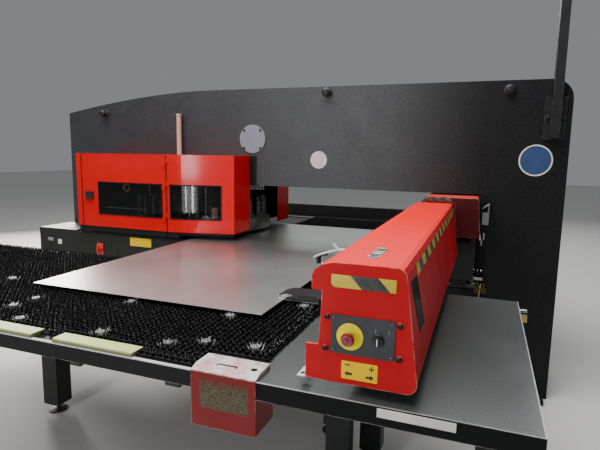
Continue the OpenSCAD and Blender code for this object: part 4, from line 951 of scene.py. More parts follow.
# %% [markdown]
# ## Skirts, seams and window beads
# Below the red covers hangs a black rubber skirt that closes the gap to the turning disc; its black
# is partly a painted shade that darkens that gap. Black gaskets run down the two seams. The windows
# sit in rubber beads. A skirt is a strip that follows the covers' outline in plan, so its path is a
# few corners and an arc, and each stretch rides with the cover or with the door.

# %% Strips along a path in plan
def upright_strip(path, low, high, thickness):
    """A wall over a path in plan: every point moved both ways along the path's normal, low and high."""
    path = np.asarray(path, float)
    along = np.gradient(path, axis=0)
    along /= np.linalg.norm(along, axis=1)[:, None]
    normal = np.stack([along[:, 1], -along[:, 0]], -1) * thickness / 2
    out, back = path + normal, path - normal
    corners = ((out, low), (out, high), (back, high), (back, low))
    return loft(np.stack([np.c_[side, np.full(len(path), h)] for side, h in corners], 1))


COVER_Y, COVER_LOW, COVER_TOP = -0.650, 1.000, 1.585
COVER_LEFT, DOOR_LEFT, DOOR_RIGHT, COVER_RIGHT, COVER_CORNER_Y = -1.590, -1.534, -0.726, -0.206, -0.540
BEND_RADIUS, BEND_ANGLE = 0.600, math.radians(12)

bend = np.linspace(0, BEND_ANGLE, 6)
bend_line = np.stack([DOOR_RIGHT + BEND_RADIUS * np.sin(bend),
                      COVER_Y + BEND_RADIUS - BEND_RADIUS * np.cos(bend)], -1)
bent_plan = np.vstack([bend_line, [(COVER_RIGHT - 0.008, COVER_CORNER_Y)]])
print("the bent cover's plan has", len(bent_plan), "points")

# %% Skirts of the covers and of the door
SKIRT_IN, SKIRT_T, SKIRT_TOP = 0.007, 0.003, COVER_LOW + 0.006
SKIRT_Y = COVER_Y + SKIRT_IN
SHEET_CLEAR, ARM_CLEAR = 0.956, 0.978
FRAME_SIDE, REAR_END, SKIRT_GAP = 0.290, -0.620, 0.003


def skirt(path, low=SHEET_CLEAR):
    """A rubber strip from just above the sheet, or above the clamps' arms, to inside the cover."""
    return upright_strip(path, low, SKIRT_TOP, SKIRT_T)


side_x = COVER_LEFT + SKIRT_IN
left_skirt = skirt([(side_x, -FRAME_SIDE), (side_x, SKIRT_Y + 0.001), (DOOR_LEFT - SKIRT_GAP, SKIRT_Y)])
rear_skirt = skirt([(side_x, FRAME_SIDE), (side_x, -SKIRT_Y - 0.001), (REAR_END, -SKIRT_Y)])
bent_skirt = skirt(bent_plan[:5] + (0, SKIRT_IN))
short_skirt = skirt(bent_plan[4:] + (0, SKIRT_IN), ARM_CLEAR)
door_skirt = skirt([(DOOR_LEFT + SKIRT_GAP, SKIRT_Y), (-1.13, SKIRT_Y),
                    (DOOR_RIGHT - 2 * SKIRT_GAP, SKIRT_Y)])
# The skirts' black is partly painted shade: it darkens the gap under the covers
rubber_piece("turret_skirt", join(left_skirt, bent_skirt, short_skirt, rear_skirt))
rubber_piece("door_skirt", door_skirt, "door")

# %% Gaskets in the seams
LIFT = 0.0002
GASKET_W, GASKET_T, SEAM_GAP = 0.006, 0.0016, 0.001
seam_height = COVER_TOP - COVER_LOW - 0.012
seam_mid = (COVER_TOP + COVER_LOW) / 2
gasket = plate(rounded(GASKET_W, seam_height, 0.002, 3), GASKET_T, 0.0006)
seam_x = (DOOR_LEFT - GASKET_W / 2 - SEAM_GAP, DOOR_RIGHT + GASKET_W / 2 + SEAM_GAP)
rubber_piece("seam_gaskets", on_front(gasket, COVER_Y - LIFT, [(x, seam_mid) for x in seam_x]))

# %% [markdown]
# A bead is a flat frame between two rectangles. The one of the bent window is drawn flat too, with
# its sides as rows of points, and then wrapped: a point's first number is read as a length along the
# cover's plan, and its third as a distance off the cover.

# %% Frames, flat and wrapped
WINDOW_LOW, WINDOW_HIGH = 1.103, 1.360
BEAD_OUT, BEAD_IN, BEAD_W, BEAD_T = 0.003, 0.005, 0.008, 0.003
SIDE_POINTS, BENT_POINTS = 14, 24


def frame_of(outline, hole, thickness):
    """A flat frame between two outlines with equal counts of points, as a closed loop of four lines."""
    low = np.zeros((len(outline), 1))
    rings = np.stack([np.c_[outline, low], np.c_[outline, low + thickness],
                      np.c_[hole, low + thickness], np.c_[hole, low]])
    return rings.reshape(-1, 3), [quads(4, len(outline), close_rows=True)]


def edge_points(box, steps=SIDE_POINTS):
    """A rectangle (left, right, low, high) whose four sides are rows of points, so that it can be bent."""
    left, right_end, low, high = box
    corners = np.array([(left, low), (right_end, low), (right_end, high), (left, high)], float)
    t = np.linspace(0, 1, steps, endpoint=False)[None, :, None]
    return (corners[:, None] + (np.roll(corners, -1, 0) - corners)[:, None] * t).reshape(-1, 2)


def bead(left, right_end, steps=SIDE_POINTS):
    """A bead between two X, over the windows' height: its outer edge outside the pane, its inner inside."""
    outer = (left, right_end, WINDOW_LOW - BEAD_OUT, WINDOW_HIGH + BEAD_OUT)
    inner = (left + BEAD_W, right_end - BEAD_W, WINDOW_LOW + BEAD_IN, WINDOW_HIGH - BEAD_IN)
    return frame_of(edge_points(outer, steps), edge_points(inner, steps), BEAD_T)


along_plan = np.r_[0, np.cumsum(np.linalg.norm(np.diff(bent_plan, axis=0), axis=1))]
bend_slope = (bent_plan[-1, 1] - bent_plan[-2, 1]) / (bent_plan[-1, 0] - bent_plan[-2, 0])
heading = np.r_[bend[:-1], math.atan(bend_slope), math.atan(bend_slope)]


def on_bend(part):
    """A flat part wrapped on the bent cover: place and normal are read off the plan at the same length."""
    points, faces = part
    x, y, angle = (np.interp(points[:, 0], along_plan, v) for v in (*bent_plan.T, heading))
    off = points[:, 2] + LIFT
    return np.stack([x + np.sin(angle) * off, y - np.cos(angle) * off, points[:, 1]], -1), faces


print("the bent cover leans", round(math.degrees(math.atan(bend_slope)), 1), "degrees")

# %% Beads round the windows
DOOR_BEAD_X, BENT_BEAD = (-1.374, -0.760), (0.032, 0.437)
rubber_piece("door_window_bead", facing_front(bead(*DOOR_BEAD_X), 0, COVER_Y - LIFT, 0), "door")
rubber_piece("bent_window_bead", on_bend(bead(*BENT_BEAD, BENT_POINTS)))
STRIP_OUTER = (0.4375, 0.4665, WINDOW_LOW - 0.005, WINDOW_HIGH + 0.005)
STRIP_INNER = (0.4515, 0.4525, WINDOW_LOW + 0.010, WINDOW_HIGH - 0.010)
window_strip = frame_of(edge_points(STRIP_OUTER), edge_points(STRIP_INNER), 0.0008)
piece("bent_window_strip", on_bend(window_strip), cover_red)

# %% [markdown]
# ## Behind the windows
# Through the smoked panes a brass ring, a guide bar, a few bright posts and a copper one glimmer. They
# stand in the gap between the turning disc and the cover, clear of both. A black lining behind the
# turret and a black plate in the throat's left end keep the daylight out.

# %% Ring, bar, posts and linings
# name, finish, slot, low and high end, and for each post its X, Y and radius
GLIMMER = (("window_posts", machined_steel, "steel", (1.05, 1.352),
            ((-0.560, -0.592, 0.009), (-0.500, -0.574, 0.011), (-0.440, -0.552, 0.007))),
           ("copper_post", copper_coat, "copper_paint", (1.110, 1.190), ((-0.381, -0.522, 0.024),)))
LINING_PLAN = ((-0.2250, 0.5320), (-0.6000, 0.6240), (-0.6000, 0.6270), (-0.2250, 0.5350))
SHUTTER = ((-1.5960, -1.5930), (-0.278, 0.278), (0.955, 1.3560))
RING_AT, BAR_X, BAR_Y, BAR_Z = (-1.120, -0.614, 1.322), (-1.330, -0.930), -0.617, 1.156


def post(x, y, radius, low, high, count=20):
    """An upright rod with a small chamfer at both ends."""
    c = radius * 0.12
    profile = [(radius - c, low), (radius, low + c), (radius, high - c), (radius - c, high)]
    points, faces = turned(profile, count)
    return points + (x, y, 0), faces


ring_brass = moulded("ring_brass", (0.95, 0.74, 0.24), 0.40, shift=0.2)
brass_ring = washer([(0.023, 0.0), (0.032, 0.0), (0.032, 0.006), (0.030, 0.008), (0.025, 0.008),
                     (0.023, 0.006)])
piece("brass_ring", facing_front(brass_ring, *RING_AT), ring_brass)
bar_line = [(x, BAR_Y, BAR_Z) for x in np.linspace(*BAR_X, 6)]
piece("guide_bar", tube(bar_line, 0.0055), machined_steel)
for name, coat, slot, heights, spots in GLIMMER:
    piece(name, join(*[post(x, y, radius, *heights) for x, y, radius in spots]), coat)
piece("rear_lining", prism(LINING_PLAN, 1.004, 1.580), black_paint)
piece("throat_shutter", block(*SHUTTER), black_paint)

# %% [markdown]
# ## The beam's end
# Here the operator stands. A dark panel with four small screws holds a mushroom stop button on its
# yellow disc and a selector with two white ticks. Above is a hazard plate, below a yellow plate with
# the two directions of travel. Plates like these are printed or engraved; as thin pieces with soft
# edges they catch light along their rims, and the stripes are a pattern in the material.

# %% Stripes as a material
TAPE_YELLOW, TAPE_BLACK = (0.66, 0.49, 0.040), (0.035, 0.038, 0.036)


def striped(name, axis, origin, period, slant, yellow=TAPE_YELLOW, black=TAPE_BLACK):
    """Hazard stripes: the distance along an axis, sheared by the height, wrapped by the period."""
    made, tree, shader = finish(name)
    at = place(tree)
    along = math_of(tree, "SUBTRACT", axis_of(tree, at, axis), origin[0])
    height = math_of(tree, "SUBTRACT", axis_of(tree, at, "Z"), origin[1])
    sheared = math_of(tree, "ADD", along, times(tree, height, slant))
    phase = math_of(tree, "FRACT", math_of(tree, "DIVIDE", sheared, period))
    dark = math_of(tree, "LESS_THAN", phase, 0.5)
    dirt = noise(tree, at, 26, 5, 0.7)
    gold = mix(tree, span(tree, dirt, 0.42, 0.75, 0.0, 0.4), yellow, (0.26, 0.21, 0.06))
    ink = mix(tree, span(tree, dirt, 0.45, 0.75), black, (0.085, 0.086, 0.075))
    wire(tree, shader, base_color=mix(tree, dark, gold, ink), roughness=span(tree, dirt, 0.3, 0.7, 0.34, 0.5),
         normal=bump(tree, noise(tree, at, 300, 2), 0.00005))
    return made


BEAM_END = -2.475
PLATE_X, PLATE_Z = (1.139, 1.323), (1.236, 1.273)
TAPE_Y, TAPE_Z = (-2.285, -0.500), (1.245, 1.281)
end_stripes = striped("end_stripes", "X", (PLATE_X[0] + 0.089, PLATE_Z[0]), 0.160, 34 / 37)
side_stripes = striped("side_stripes", "Y", (TAPE_Y[0] + 0.080, TAPE_Z[0]), 0.160, 0.9)
# The hood's stripes are darkened as painted shade, like the hood's front
shaded_hood_stripes = striped("shaded_hood_stripes", "X", (1.120, 1.300), 0.060, 0.9, (0.060, 0.055, 0.040),
                       (0.012, 0.012, 0.012))
print("three kinds of stripes")

# %% Finishes of plates and screws
EVEN = (1, 1, 1)
label_yellow = moulded("label_yellow", (0.92, 0.60, 0.002), 0.45, shift=0.05, gloss=0.04)
label_white = moulded("label_white", (0.66, 0.65, 0.60), 0.44, 90, 0.0001, shift=0.10)
ink_black = moulded("ink_black", (0.010, 0.010, 0.010), 0.40)
tick_grey = moulded("tick_grey", (0.22, 0.22, 0.21), 0.44)
screw_zinc = steel("screw_zinc", (0.50, 0.50, 0.50), 0.34, 90, EVEN, 0.00003)
dull_zinc = steel("dull_zinc", (0.17, 0.18, 0.18), 0.36, 90, EVEN, 0.00003, stain=(0.08, 0.08, 0.08))
ring_highlight_red = moulded("ring_highlight_red", (0.34, 0.07, 0.09), 0.26, coat=0.3)
black_screw = steel("black_screw", (0.060, 0.060, 0.062), 0.40, 90, EVEN, 0.00003, stain=(0.03, 0.03, 0.03))


def face_plate(name, x, z, face, thickness, radius, coat, body="machine"):
    """A thin rounded plate between two X and two Z, a hair in front of a face that looks along -Y."""
    flat = plate(rounded(x[1] - x[0], z[1] - z[0], radius, 5), thickness, 0.0004)
    return piece(name, facing_front(flat, sum(x) / 2, face - LIFT, sum(z) / 2), coat, body)


AXIS_PLATE_X, AXIS_PLATE_Z, AXIS_PLATE_T = (1.176, 1.281), (0.969, 1.023), 0.0012
face_plate("hazard_plate", PLATE_X, PLATE_Z, BEAM_END, 0.0010, 0.0012, end_stripes, "beam")
face_plate("axis_plate", AXIS_PLATE_X, AXIS_PLATE_Z, BEAM_END, AXIS_PLATE_T, 0.003, label_yellow, "beam")

# %% Signs on the axis plate
SIGN_Y, SIGN_T = BEAM_END - LIFT - AXIS_PLATE_T, 0.0004
MINUS, PLUS, LEFT, RIGHT = (1.194, 1.012), (1.264, 1.009), (1.197, 0.986), (1.259, 0.983)
HAIR = 0.00003
bar = rounded(0.016, 0.0035, 0.0006, 3)
minus = facing_front(plate(bar, SIGN_T, 0.0001), MINUS[0], SIGN_Y, MINUS[1])
plus = join(facing_front(plate(bar, SIGN_T, 0.0001), PLUS[0], SIGN_Y, PLUS[1]),
            facing_front(plate(bar[:, ::-1] * (-1, 1), SIGN_T, 0.0001), PLUS[0], SIGN_Y - HAIR, PLUS[1]))
arrow_right = np.array([(-0.011, -0.0035), (0.002, -0.0035), (0.002, -0.008), (0.012, 0), (0.002, 0.008),
                        (0.002, 0.0035), (-0.011, 0.0035)])
arrow_left = (arrow_right * (-1, 1))[::-1]
arrows = join(facing_front(plate(arrow_left, SIGN_T, 0.00005), LEFT[0], SIGN_Y, LEFT[1]),
              facing_front(plate(arrow_right, SIGN_T, 0.00005), RIGHT[0], SIGN_Y, RIGHT[1]))
piece("axis_signs", join(minus, plus, arrows), ink_black, "beam")

# %% The stop button's disc and cap
PANEL_Y = BEAM_END - 0.0033
BUTTON_FACE = BEAM_END - 0.0405
BUTTON, SELECTOR = (1.199, 1.097), (1.280, 1.097)
collar = washer([(0.0125, 0.0), (0.0390, 0.0), (0.0390, 0.0022), (0.0382, 0.0032), (0.0200, 0.0046),
                 (0.0165, 0.0050), (0.0125, 0.0050)])
cap_ring = washer([(0.0128, 0.0), (0.0142, 0.0004), (0.0135, 0.0010), (0.0122, 0.0012), (0.0114, 0.0008)])
piece("stop_disc", facing_front(collar, BUTTON[0], PANEL_Y - LIFT, BUTTON[1]), signal_yellow,
      "beam")
# painted highlight: the cap ring's pale pink is the light caught on the button's rim
piece("stop_cap_ring", facing_front(cap_ring, BUTTON[0], BUTTON_FACE, BUTTON[1]), ring_highlight_red,
      "stop_button")

# %% The selector's ticks, pointer and ring
POINTER_Y = BEAM_END - 0.0220
TICKS = ((1.272, 1.124), (1.309, 1.124))
tick = plate(rounded(0.0022, 0.0110, 0.0006, 3), 0.0004, 0.0001)
piece("selector_ticks", on_front(tick, PANEL_Y, TICKS), tick_grey, "beam")
pointer = plate(rounded(0.0030, 0.0200, 0.0008, 3), 0.0006, 0.0001)
piece("selector_pointer", facing_front(pointer, SELECTOR[0], POINTER_Y, SELECTOR[1]), label_white,
      "selector")
selector_ring = washer([(0.0138, 0.0), (0.0175, 0.0), (0.0175, 0.0022), (0.0165, 0.0034), (0.0142, 0.0034),
                        (0.0138, 0.0028)])
piece("selector_ring", facing_front(selector_ring, SELECTOR[0], PANEL_Y, SELECTOR[1]), black_plastic,
      "beam")

# %% [markdown]
# Button-head screws hold the cover and the panel. They are a few pixels wide in the picture, so a
# screw is one turned profile, a low dome that ends in the rim of its socket, without the socket's six
# sides. Under the cover's left corner a pale lug with a dark hole sticks out.

# %% Screws and lug on the beam's end
SOCKET = 0.45
COVER_BOLTS = ((1.127, 1.055), (1.339, 1.053), (1.131, 1.149), (1.339, 1.148))
PANEL_SCREWS = [(x, z) for x in (1.151, 1.317) for z in (1.052, 1.148)]
COVER_BOLT_HEAD, COVER_BOLT_SEAT = (0.0088, 0.0065), BEAM_END - 0.0075
PANEL_SCREW_HEAD, PANEL_SCREW_SEAT = (0.0042, 0.0022), BEAM_END - 0.0049
LUG_X, LUG_Y, LUG_Z = (1.0380, 1.0640), (-2.4740, -2.4050), (0.9500, 0.9530)
LUG_HOLE, LUG_HOLE_RADIUS = (1.0505, -2.4530), 0.0075


def dome_screw(radius, height):
    """A button-head screw: a low dome that ends in the rim of its hexagon socket, and the socket's floor."""
    angles = [a for a in np.linspace(0, np.pi / 2, 6) if math.cos(a) > SOCKET]
    head = [(radius * math.cos(a) * 0.96 + 0.04 * radius, height * math.sin(a)) for a in angles]
    socket = [(radius * SOCKET, height * 0.92), (radius * 0.42, height * 0.35), (0.0002, height * 0.30)]
    return turned([(radius, -0.0004), *head, *socket], 18)


piece("cover_lug", block(LUG_X, LUG_Y, LUG_Z), label_white, "beam", soften=0.0005)
# painted shade: the lug's hole is a black disc on its top
lug_hole = facing_sky(plate(ring(LUG_HOLE_RADIUS, 20), HOLE_T, HOLE_EDGE), *LUG_HOLE, LUG_Z[1] + 0.0001)
piece("lug_hole", lug_hole, ink_black, "beam")
cover_bolts = on_front(dome_screw(*COVER_BOLT_HEAD), COVER_BOLT_SEAT, COVER_BOLTS)
piece("cover_bolts", cover_bolts, black_screw, "beam")
panel_screws = on_front(dome_screw(*PANEL_SCREW_HEAD), PANEL_SCREW_SEAT, PANEL_SCREWS)
piece("panel_screws", panel_screws, dull_zinc, "beam")

# %% [markdown]
# ## Tape, window and patch on the beam cover
# Hazard tape runs along the leaning side, just under the rounded edge. At the front end a smoked
# window lets the carriage's scale be read. On top sit a narrow slot and a worn silver patch. All lie
# on the cover's own planes: the leaning side is a line in X and Z, so a slab of tape is four corners
# in Y and Z whose X follows that line, lifted a fraction of a millimetre off it.

# %% Pieces on the leaning side
LEAN_TOP, LEAN_FOOT = (1.349, 1.287), (1.391, 0.986)
lean_slope = (LEAN_FOOT[0] - LEAN_TOP[0]) / (LEAN_TOP[1] - LEAN_FOOT[1])
lean_out = np.array([1, 0, lean_slope]) / math.hypot(1, lean_slope)


def on_lean(corners, thickness):
    """A thin slab on the leaning side: X follows Z along the line, then moves out along its normal."""
    y, z = np.asarray(corners, float).T
    flat = np.stack([LEAN_FOOT[0] - (z - LEAN_FOOT[1]) * lean_slope, y, z], -1)
    return loft(np.stack([flat + lean_out * LIFT, flat + lean_out * (LIFT + thickness)]))


SIDE_WINDOW = [(-2.414, 1.256), (-2.346, 1.092), (-2.232, 1.086), (-2.302, 1.252)]
tape = on_lean([(TAPE_Y[i], TAPE_Z[k]) for i, k in ((0, 0), (1, 0), (1, 1), (0, 1))], 0.0006)
piece("side_tape", tape, side_stripes, "beam")
dark_glass = moulded("dark_glass", (0.003, 0.003, 0.0035), 0.20, 300, 0.00001, gloss=0.10)
piece("side_window", on_lean(SIDE_WINDOW, 0.0012), dark_glass, "beam")

# %% Elbow of the front clamp's hose
ELBOW = [(0.846, -1.700, 1.118), (0.846, -1.700, 1.146), (0.858, -1.700, 1.162), (0.884, -1.700, 1.166)]
piece("hose_elbow", tube(curve_through(ELBOW), 0.0105, 16), black_plastic, "carriage")

# %% Slot and patch on top, tape on the hood
BEAM_TOP, HOOD_FRONT = 1.307, -0.490
TOP_SLOT_AT, TOP_SLOT_SIZE = (1.174, -2.240), (0.018, 0.006)
FOIL_AT, FOIL_SIZE = (1.232, -2.288), (0.036, 0.168)
HOOD_TAPE = np.array([(1.144, 1.316), (1.345, 1.316), (1.343, 1.343), (1.176, 1.343)])


def worn_foil():
    """Silver foil of which half has come off: bright scraps over a dark ground, edges ragged."""
    made, tree, shader = finish("worn_foil")
    bright = span(tree, noise(tree, place(tree), 34, 3, 0.7, 1.2), 0.52, 0.55)
    body = mix(tree, bright, (0.045, 0.042, 0.040), (0.62, 0.62, 0.58))
    wire(tree, shader, base_color=body, roughness=0.42, normal=bump(tree, bright, 0.0002))
    return made


# painted shade: the slot is a thin black plate on the cover's top
slot_line = plate(rounded(*TOP_SLOT_SIZE, 0.0025, 4), 0.0004, 0.0001)
piece("top_slot", facing_sky(slot_line, *TOP_SLOT_AT, BEAM_TOP), ink_black, "beam")
foil = plate(rounded(*FOIL_SIZE, 0.002, 3), 0.0005, 0.0001)
piece("top_patch", facing_sky(foil, *FOIL_AT, BEAM_TOP), worn_foil(), "beam")
hood_tape = facing_front(plate(HOOD_TAPE, 0.0006, 0.0001), 0, HOOD_FRONT - LIFT, 0)
piece("hood_tape", hood_tape, shaded_hood_stripes, "beam")

# %% [markdown]
# ## Signs and small plates on the frame
# The bridge carries a blue disc with a white ring and a pale round sticker. On the table's front edge
# is a white strip, on the cabinet a yellow plate and two small tags. All are plain thin pieces, so
# that each can be given another finish without touching its neighbours.

# %% Round signs and bare plates
FRAME_FACE, CABINET_FACE = -0.279, -0.620
SIGN_X, SIGN_Z, SIGN_RADIUS = 1.822, 1.590, 0.092
STICKER_X, STICKER_Z, STICKER_RADIUS = 0.361, 1.565, 0.064
sign_blue = moulded("sign_blue", (0.016, 0.045, 0.135), 0.42, shift=0.08)
sticker_pale = moulded("sticker_pale", (0.58, 0.50, 0.49), 0.42, 60, 0.0001, shift=0.15)


def round_sign(name, radius, thickness, x, z, coat, count):
    """A flat disc on the bridge's front face."""
    low = 0.0004
    disc = turned([(low, low), (radius, low), (radius, low + thickness), (low, low + thickness)], count)
    piece(name, facing_front(disc, x, FRAME_FACE, z), coat)


round_sign("blue_sign", SIGN_RADIUS, 0.0010, SIGN_X, SIGN_Z, sign_blue, 48)
white_ring = washer([(0.0915, 0.0), (0.100, 0.0), (0.100, 0.0012), (0.0996, 0.0016), (0.0919, 0.0016),
                     (0.0915, 0.0012)], 64)
piece("sign_ring", facing_front(white_ring, SIGN_X, FRAME_FACE - LIFT, SIGN_Z), label_white)
round_sign("round_sticker", STICKER_RADIUS, 0.0006, STICKER_X, STICKER_Z, sticker_pale, 40)

# name, span in X, span in Z, face, thickness, corner radius, finish
BARE_PLATES = (
    ("rim_strip", (1.289, 1.500), (0.887, 0.914), RIM_FACE, 0.0006, 0.001, label_white),
    ("cabinet_plate", (-1.101, -0.899), (0.856, 0.924), CABINET_FACE, 0.0008, 0.002, label_yellow),
    ("cabinet_tag_grey", (-1.971, -1.912), (0.834, 0.863), CABINET_FACE, 0.0006, 0.001, plate_grey),
    ("cabinet_tag_white", (-1.859, -1.817), (0.812, 0.853), CABINET_FACE, 0.0006, 0.001, label_white))
for row in BARE_PLATES:
    face_plate(*row)

# %% [markdown]
# ## The front cabinet's own length
# In the photo the front cabinet ends a little further right than its CAD node and carries a low box on
# that end. So this piece stands in for the node: a folded face with a square hole behind the mains
# switch, two end walls, a lid cut out round the turning disc, and a plinth. A lip along its top and a
# sheet between the rear cabinet and its table keep the floor's light out of the gaps.

# %% Walls, lid and plinth of the cabinet
CABINET_X, CABINET_BACK, CABINET_Z, SHEET_T = (-2.060, -0.190), -0.2797, (0.100, 0.930), 0.008
LID_T, BOX_TOP, BOX_RIGHT = 0.003, 0.946, -1.655
SWITCH_HOLE = (-1.416, -1.396, 0.793, 0.813)
TURRET_X, CLEAR_RADIUS = -0.810, 0.610
inside = CABINET_FACE + SHEET_T

skin = frame_of(edge_points((*CABINET_X, *CABINET_Z)), edge_points(SWITCH_HOLE), SHEET_T)
start = math.asin(-CABINET_BACK / CLEAR_RADIUS)
cut = np.linspace(start, math.pi - start, 40)
arc = np.c_[TURRET_X + CLEAR_RADIUS * np.cos(cut), np.maximum(-CLEAR_RADIUS * np.sin(cut), inside + 0.001)]
lid_plan = np.vstack([[(CABINET_X[0], inside), (CABINET_X[1], inside), (CABINET_X[1], CABINET_BACK)], arc,
                      [(CABINET_X[0], CABINET_BACK)]])
lid = prism(lid_plan, CABINET_Z[1] - LID_T, CABINET_Z[1])
walls = [block((x, x + SHEET_T), (inside, CABINET_BACK), (CABINET_Z[0], CABINET_Z[1] - LID_T))
         for x in (CABINET_X[0], CABINET_X[1] - SHEET_T)]
plinth = block((CABINET_X[0] + 0.04, CABINET_X[1] - 0.04), (CABINET_FACE + 0.06, CABINET_FACE + 0.075),
               (0.0, CABINET_Z[0]))
above = (CABINET_Z[1] + LIFT, BOX_TOP)
low_box = block((CABINET_X[0], BOX_RIGHT), (CABINET_FACE, CABINET_BACK), above)
cabinet = join(facing_front(skin, 0, inside, 0), lid, *walls, plinth, low_box)
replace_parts(piece("cabinet_front_skin", cabinet, cabinet_paint), "base_cabinet_front")

# %% Seams, grips, lip and infill
SEAM_X, SEAM_HALF, SEAM_Z = (-1.920, -1.289, -0.727), 0.0015, (0.12, 0.918)
GRIP_X, GRIP_HALF, GRIP_Z = (-1.950, -1.229, -0.667), 0.005, (0.770, 0.820)
LIP_X, LIP_T = (-1.600, -0.250), 0.006
INFILL = ((-0.6200, -0.1820), (0.6202, 1.2618), (0.9050, 0.9120))
dark_y = (CABINET_FACE - 0.0004, CABINET_FACE - 0.0001)
dark_lines = [block((x - half, x + half), dark_y, z)
              for row, half, z in ((SEAM_X, SEAM_HALF, SEAM_Z), (GRIP_X, GRIP_HALF, GRIP_Z)) for x in row]
rubber_piece("cabinet_seams", join(*dark_lines))
rubber_piece("rear_infill", block(*INFILL))
rubber_piece("cabinet_lip", block(LIP_X, (CABINET_FACE, CABINET_FACE + LIP_T), above))

# %% Screws of the round plate
ACCESS_X, ACCESS_Z, ACCESS_RADIUS = -0.182, 1.716, 0.098
ACCESS_SCREW_HEAD, ACCESS_SCREW_SEAT = (0.0095, 0.005), FRAME_FACE - 0.0140
quarter = np.radians([45, 135, 225, 315])
spots = np.c_[ACCESS_X + ACCESS_RADIUS * np.cos(quarter), ACCESS_Z + ACCESS_RADIUS * np.sin(quarter)]
access_screws = on_front(dome_screw(*ACCESS_SCREW_HEAD), ACCESS_SCREW_SEAT, spots)
piece("access_screws", access_screws, black_screw)

# %% [markdown]
# ## The throat's two sides
# Beside the turret cover a black plate lies on the frame: a painted shadow, the dark beside the
# cover's end. At the right, where the hood ends its way, a rubber seal closes the slot, a pressed
# bracket and a knuckle hold the cable, and a brass pipe leaves the air fittings. They are fixed to
# the machine and clear of the beam's travel; only the hood's inner plate rides with the beam. A bolt
# and a small bracket sit at the right table's edge.

# %% Shadow plate, seal and inner plate
SHADOW_PLATE = ((-0.2055, -0.148), (-0.2830, -0.2795), (1.3585, COVER_TOP))
INNER_PLATE = ((1.4700, 1.5190), (-0.3000, -0.2970), (1.0490, 1.1400))
SEAL = ((1.4940, 0.845), (1.5545, 0.845), (1.5545, 1.356), (1.5040, 1.356), (1.5040, 1.340),
        (1.5248, 1.046), (1.4940, 1.046))
SEAL_Y, SEAL_T = -0.266, 0.010
# painted shadow: a black plate on the frame beside the cover's end
rubber_piece("cover_shadow_plate", block(*SHADOW_PLATE))
rubber_piece("throat_seal", facing_front(prism(SEAL, 0.0, SEAL_T), 0, SEAL_Y, 0))
rubber_piece("hood_inner_plate", block(*INNER_PLATE), "beam")

# %% Bolt and bracket at the table's edge
BOLT_RADIUS, BOLT_LENGTH, BOLT_FOOT = 0.008, 0.034, (PLATE_EDGE + LIFT, -1.3550, 0.9050)
CORNER_BRACKET = ((PLATE_EDGE + 0.0005, 1.7480), (-1.4000, -1.3760), (0.8640, 0.8960))
lying_along_x = stand(post(0, 0, BOLT_RADIUS, 0.0, BOLT_LENGTH, 16), BOLT_FOOT, (0, 1, 0), (0, 0, 1))
piece("corner_bolt", lying_along_x, screw_zinc)
piece("corner_bracket", block(*CORNER_BRACKET), brass_metal)

# %% Cable bracket, knuckle and brass pipe
FLANGE_Y = (-0.2850, -0.2795)
RIB = np.array([(1.5255, 1.262), (1.5680, 1.292), (1.5680, 1.303), (1.5255, 1.273)])
PIPE = [(1.545, -0.296, 0.752), (1.541, -0.316, 0.715), (1.536, -0.318, 0.660), (1.532, -0.318, 0.600)]
FLANGE_SPANS = (((1.5270, 1.5680), (1.156, 1.240)), ((1.5600, 1.5680), (1.240, 1.296)))
KNUCKLE_PINS = ((1.5430, -0.2720, 0.009, 1.055, 1.100), (1.5300, -0.2720, 0.007, 1.012, 1.056))
KNUCKLE_FOOT = ((1.500, 1.5545), (-0.2760, -0.2680), (0.772, 0.790))
rib = facing_front(plate(RIB, 0.012, 0.001), 0, FLANGE_Y[0] - LIFT, 0)
cable_bracket = join(*[block(x, FLANGE_Y, z) for x, z in FLANGE_SPANS], rib)
piece("cable_bracket", cable_bracket, screw_zinc, soften=0.0008)
knuckle = join(*[post(*pin) for pin in KNUCKLE_PINS], block(*KNUCKLE_FOOT))
piece("cable_knuckle", knuckle, screw_zinc)
piece("brass_pipe", tube(curve_through(PIPE), 0.0042), brass_metal)

# %% [markdown]
# ## Floor and light
# The stage is a pale, plain floor under soft studio lamps: a wide one overhead, one at the left rear
# and one far behind, which draws the long soft reflections that tell sheet steel and gloss paint
# apart. In front, behind the camera, stand a tall narrow window and, lower down, two thin slits and a
# pane. The bent cover leans towards them, and their mirror images are the bright band and the upright
# lines that the real cover and its window show.

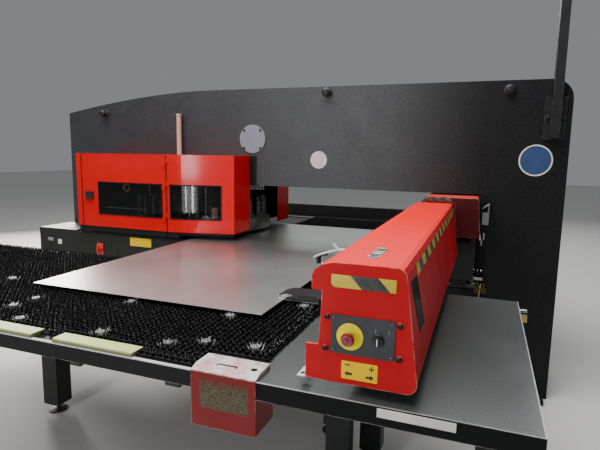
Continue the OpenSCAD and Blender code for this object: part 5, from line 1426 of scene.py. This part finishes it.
# %% Stage
FLOOR_HALF = 30.0
floor_mesh = bpy.data.meshes.new("floor")
floor_corners = [(sx * FLOOR_HALF, sy * FLOOR_HALF, 0) for sx, sy in ((-1, -1), (1, -1), (1, 1), (-1, 1))]
floor_mesh.from_pydata(floor_corners, [], [(0, 1, 2, 3)])
floor = bpy.data.objects.new("floor", floor_mesh)
scene.collection.objects.link(floor)
floor_finish, floor_tree, floor_shader = finish("floor_finish")
wire(floor_tree, floor_shader, base_color=(0.70, 0.69, 0.66), roughness=0.60)
floor_mesh.materials.append(floor_finish)

world = bpy.data.worlds.new("studio")
world.use_nodes = True
background = world.node_tree.nodes["Background"]
background.inputs["Color"].default_value = (0.84, 0.86, 0.90, 1)
background.inputs["Strength"].default_value = 0.27
scene.world = world
print("floor", 2 * FLOOR_HALF, "m wide")

# %% Lamps
MACHINE_LEFT = (-0.5, -0.6, 1.2)
# name, where it stands, what it looks at, width and height, power in watts, tint
LAMPS = (("overhead", (-0.4, -2.0, 5.0), (-0.1, -1.2, 0.6), (5.0, 3.0), 390, (1, 1, 1)),
         ("window_left", (-1.10, -6.3, 2.26), (-0.5, -0.4, 1.8), (0.30, 2.3), 82, (1, 1, 1)),
         ("slit_one", (-1.166, -6.3, 0.68), MACHINE_LEFT, (0.030, 0.66), 1.3, (1, 1, 1)),
         ("slit_two", (-1.042, -6.3, 0.68), MACHINE_LEFT, (0.036, 0.66), 2.0, (1, 1, 1)),
         ("low_pane", (-1.130, -6.5, 0.68), MACHINE_LEFT, (0.28, 0.66), 2.4, (1, 1, 1)),
         ("left_back", (-6.2, 3.3, 2.7), (-0.6, -1.8, 0.9), (3.0, 2.4), 420, (1.0, 0.97, 0.94)),
         ("back_wall", (0.5, 8.0, 6.0), (0.6, -2.0, 0.9), (9.0, 3.0), 320, (0.98, 0.99, 1.0)))


def lamp(name, stands_at, looks_at, size, power, tint):
    """A rectangular area lamp at a point, turned to look at another."""
    data = bpy.data.lights.new(name, "AREA")
    data.shape = "RECTANGLE"
    data.size, data.size_y = size
    data.energy = power
    data.color = tint
    made = bpy.data.objects.new(name, data)
    scene.collection.objects.link(made)
    made.location = stands_at
    made.rotation_euler = (Vector(looks_at) - Vector(stands_at)).to_track_quat("-Z", "Y").to_euler()


for row in LAMPS:
    lamp(*row)
print("lamps", len(LAMPS))
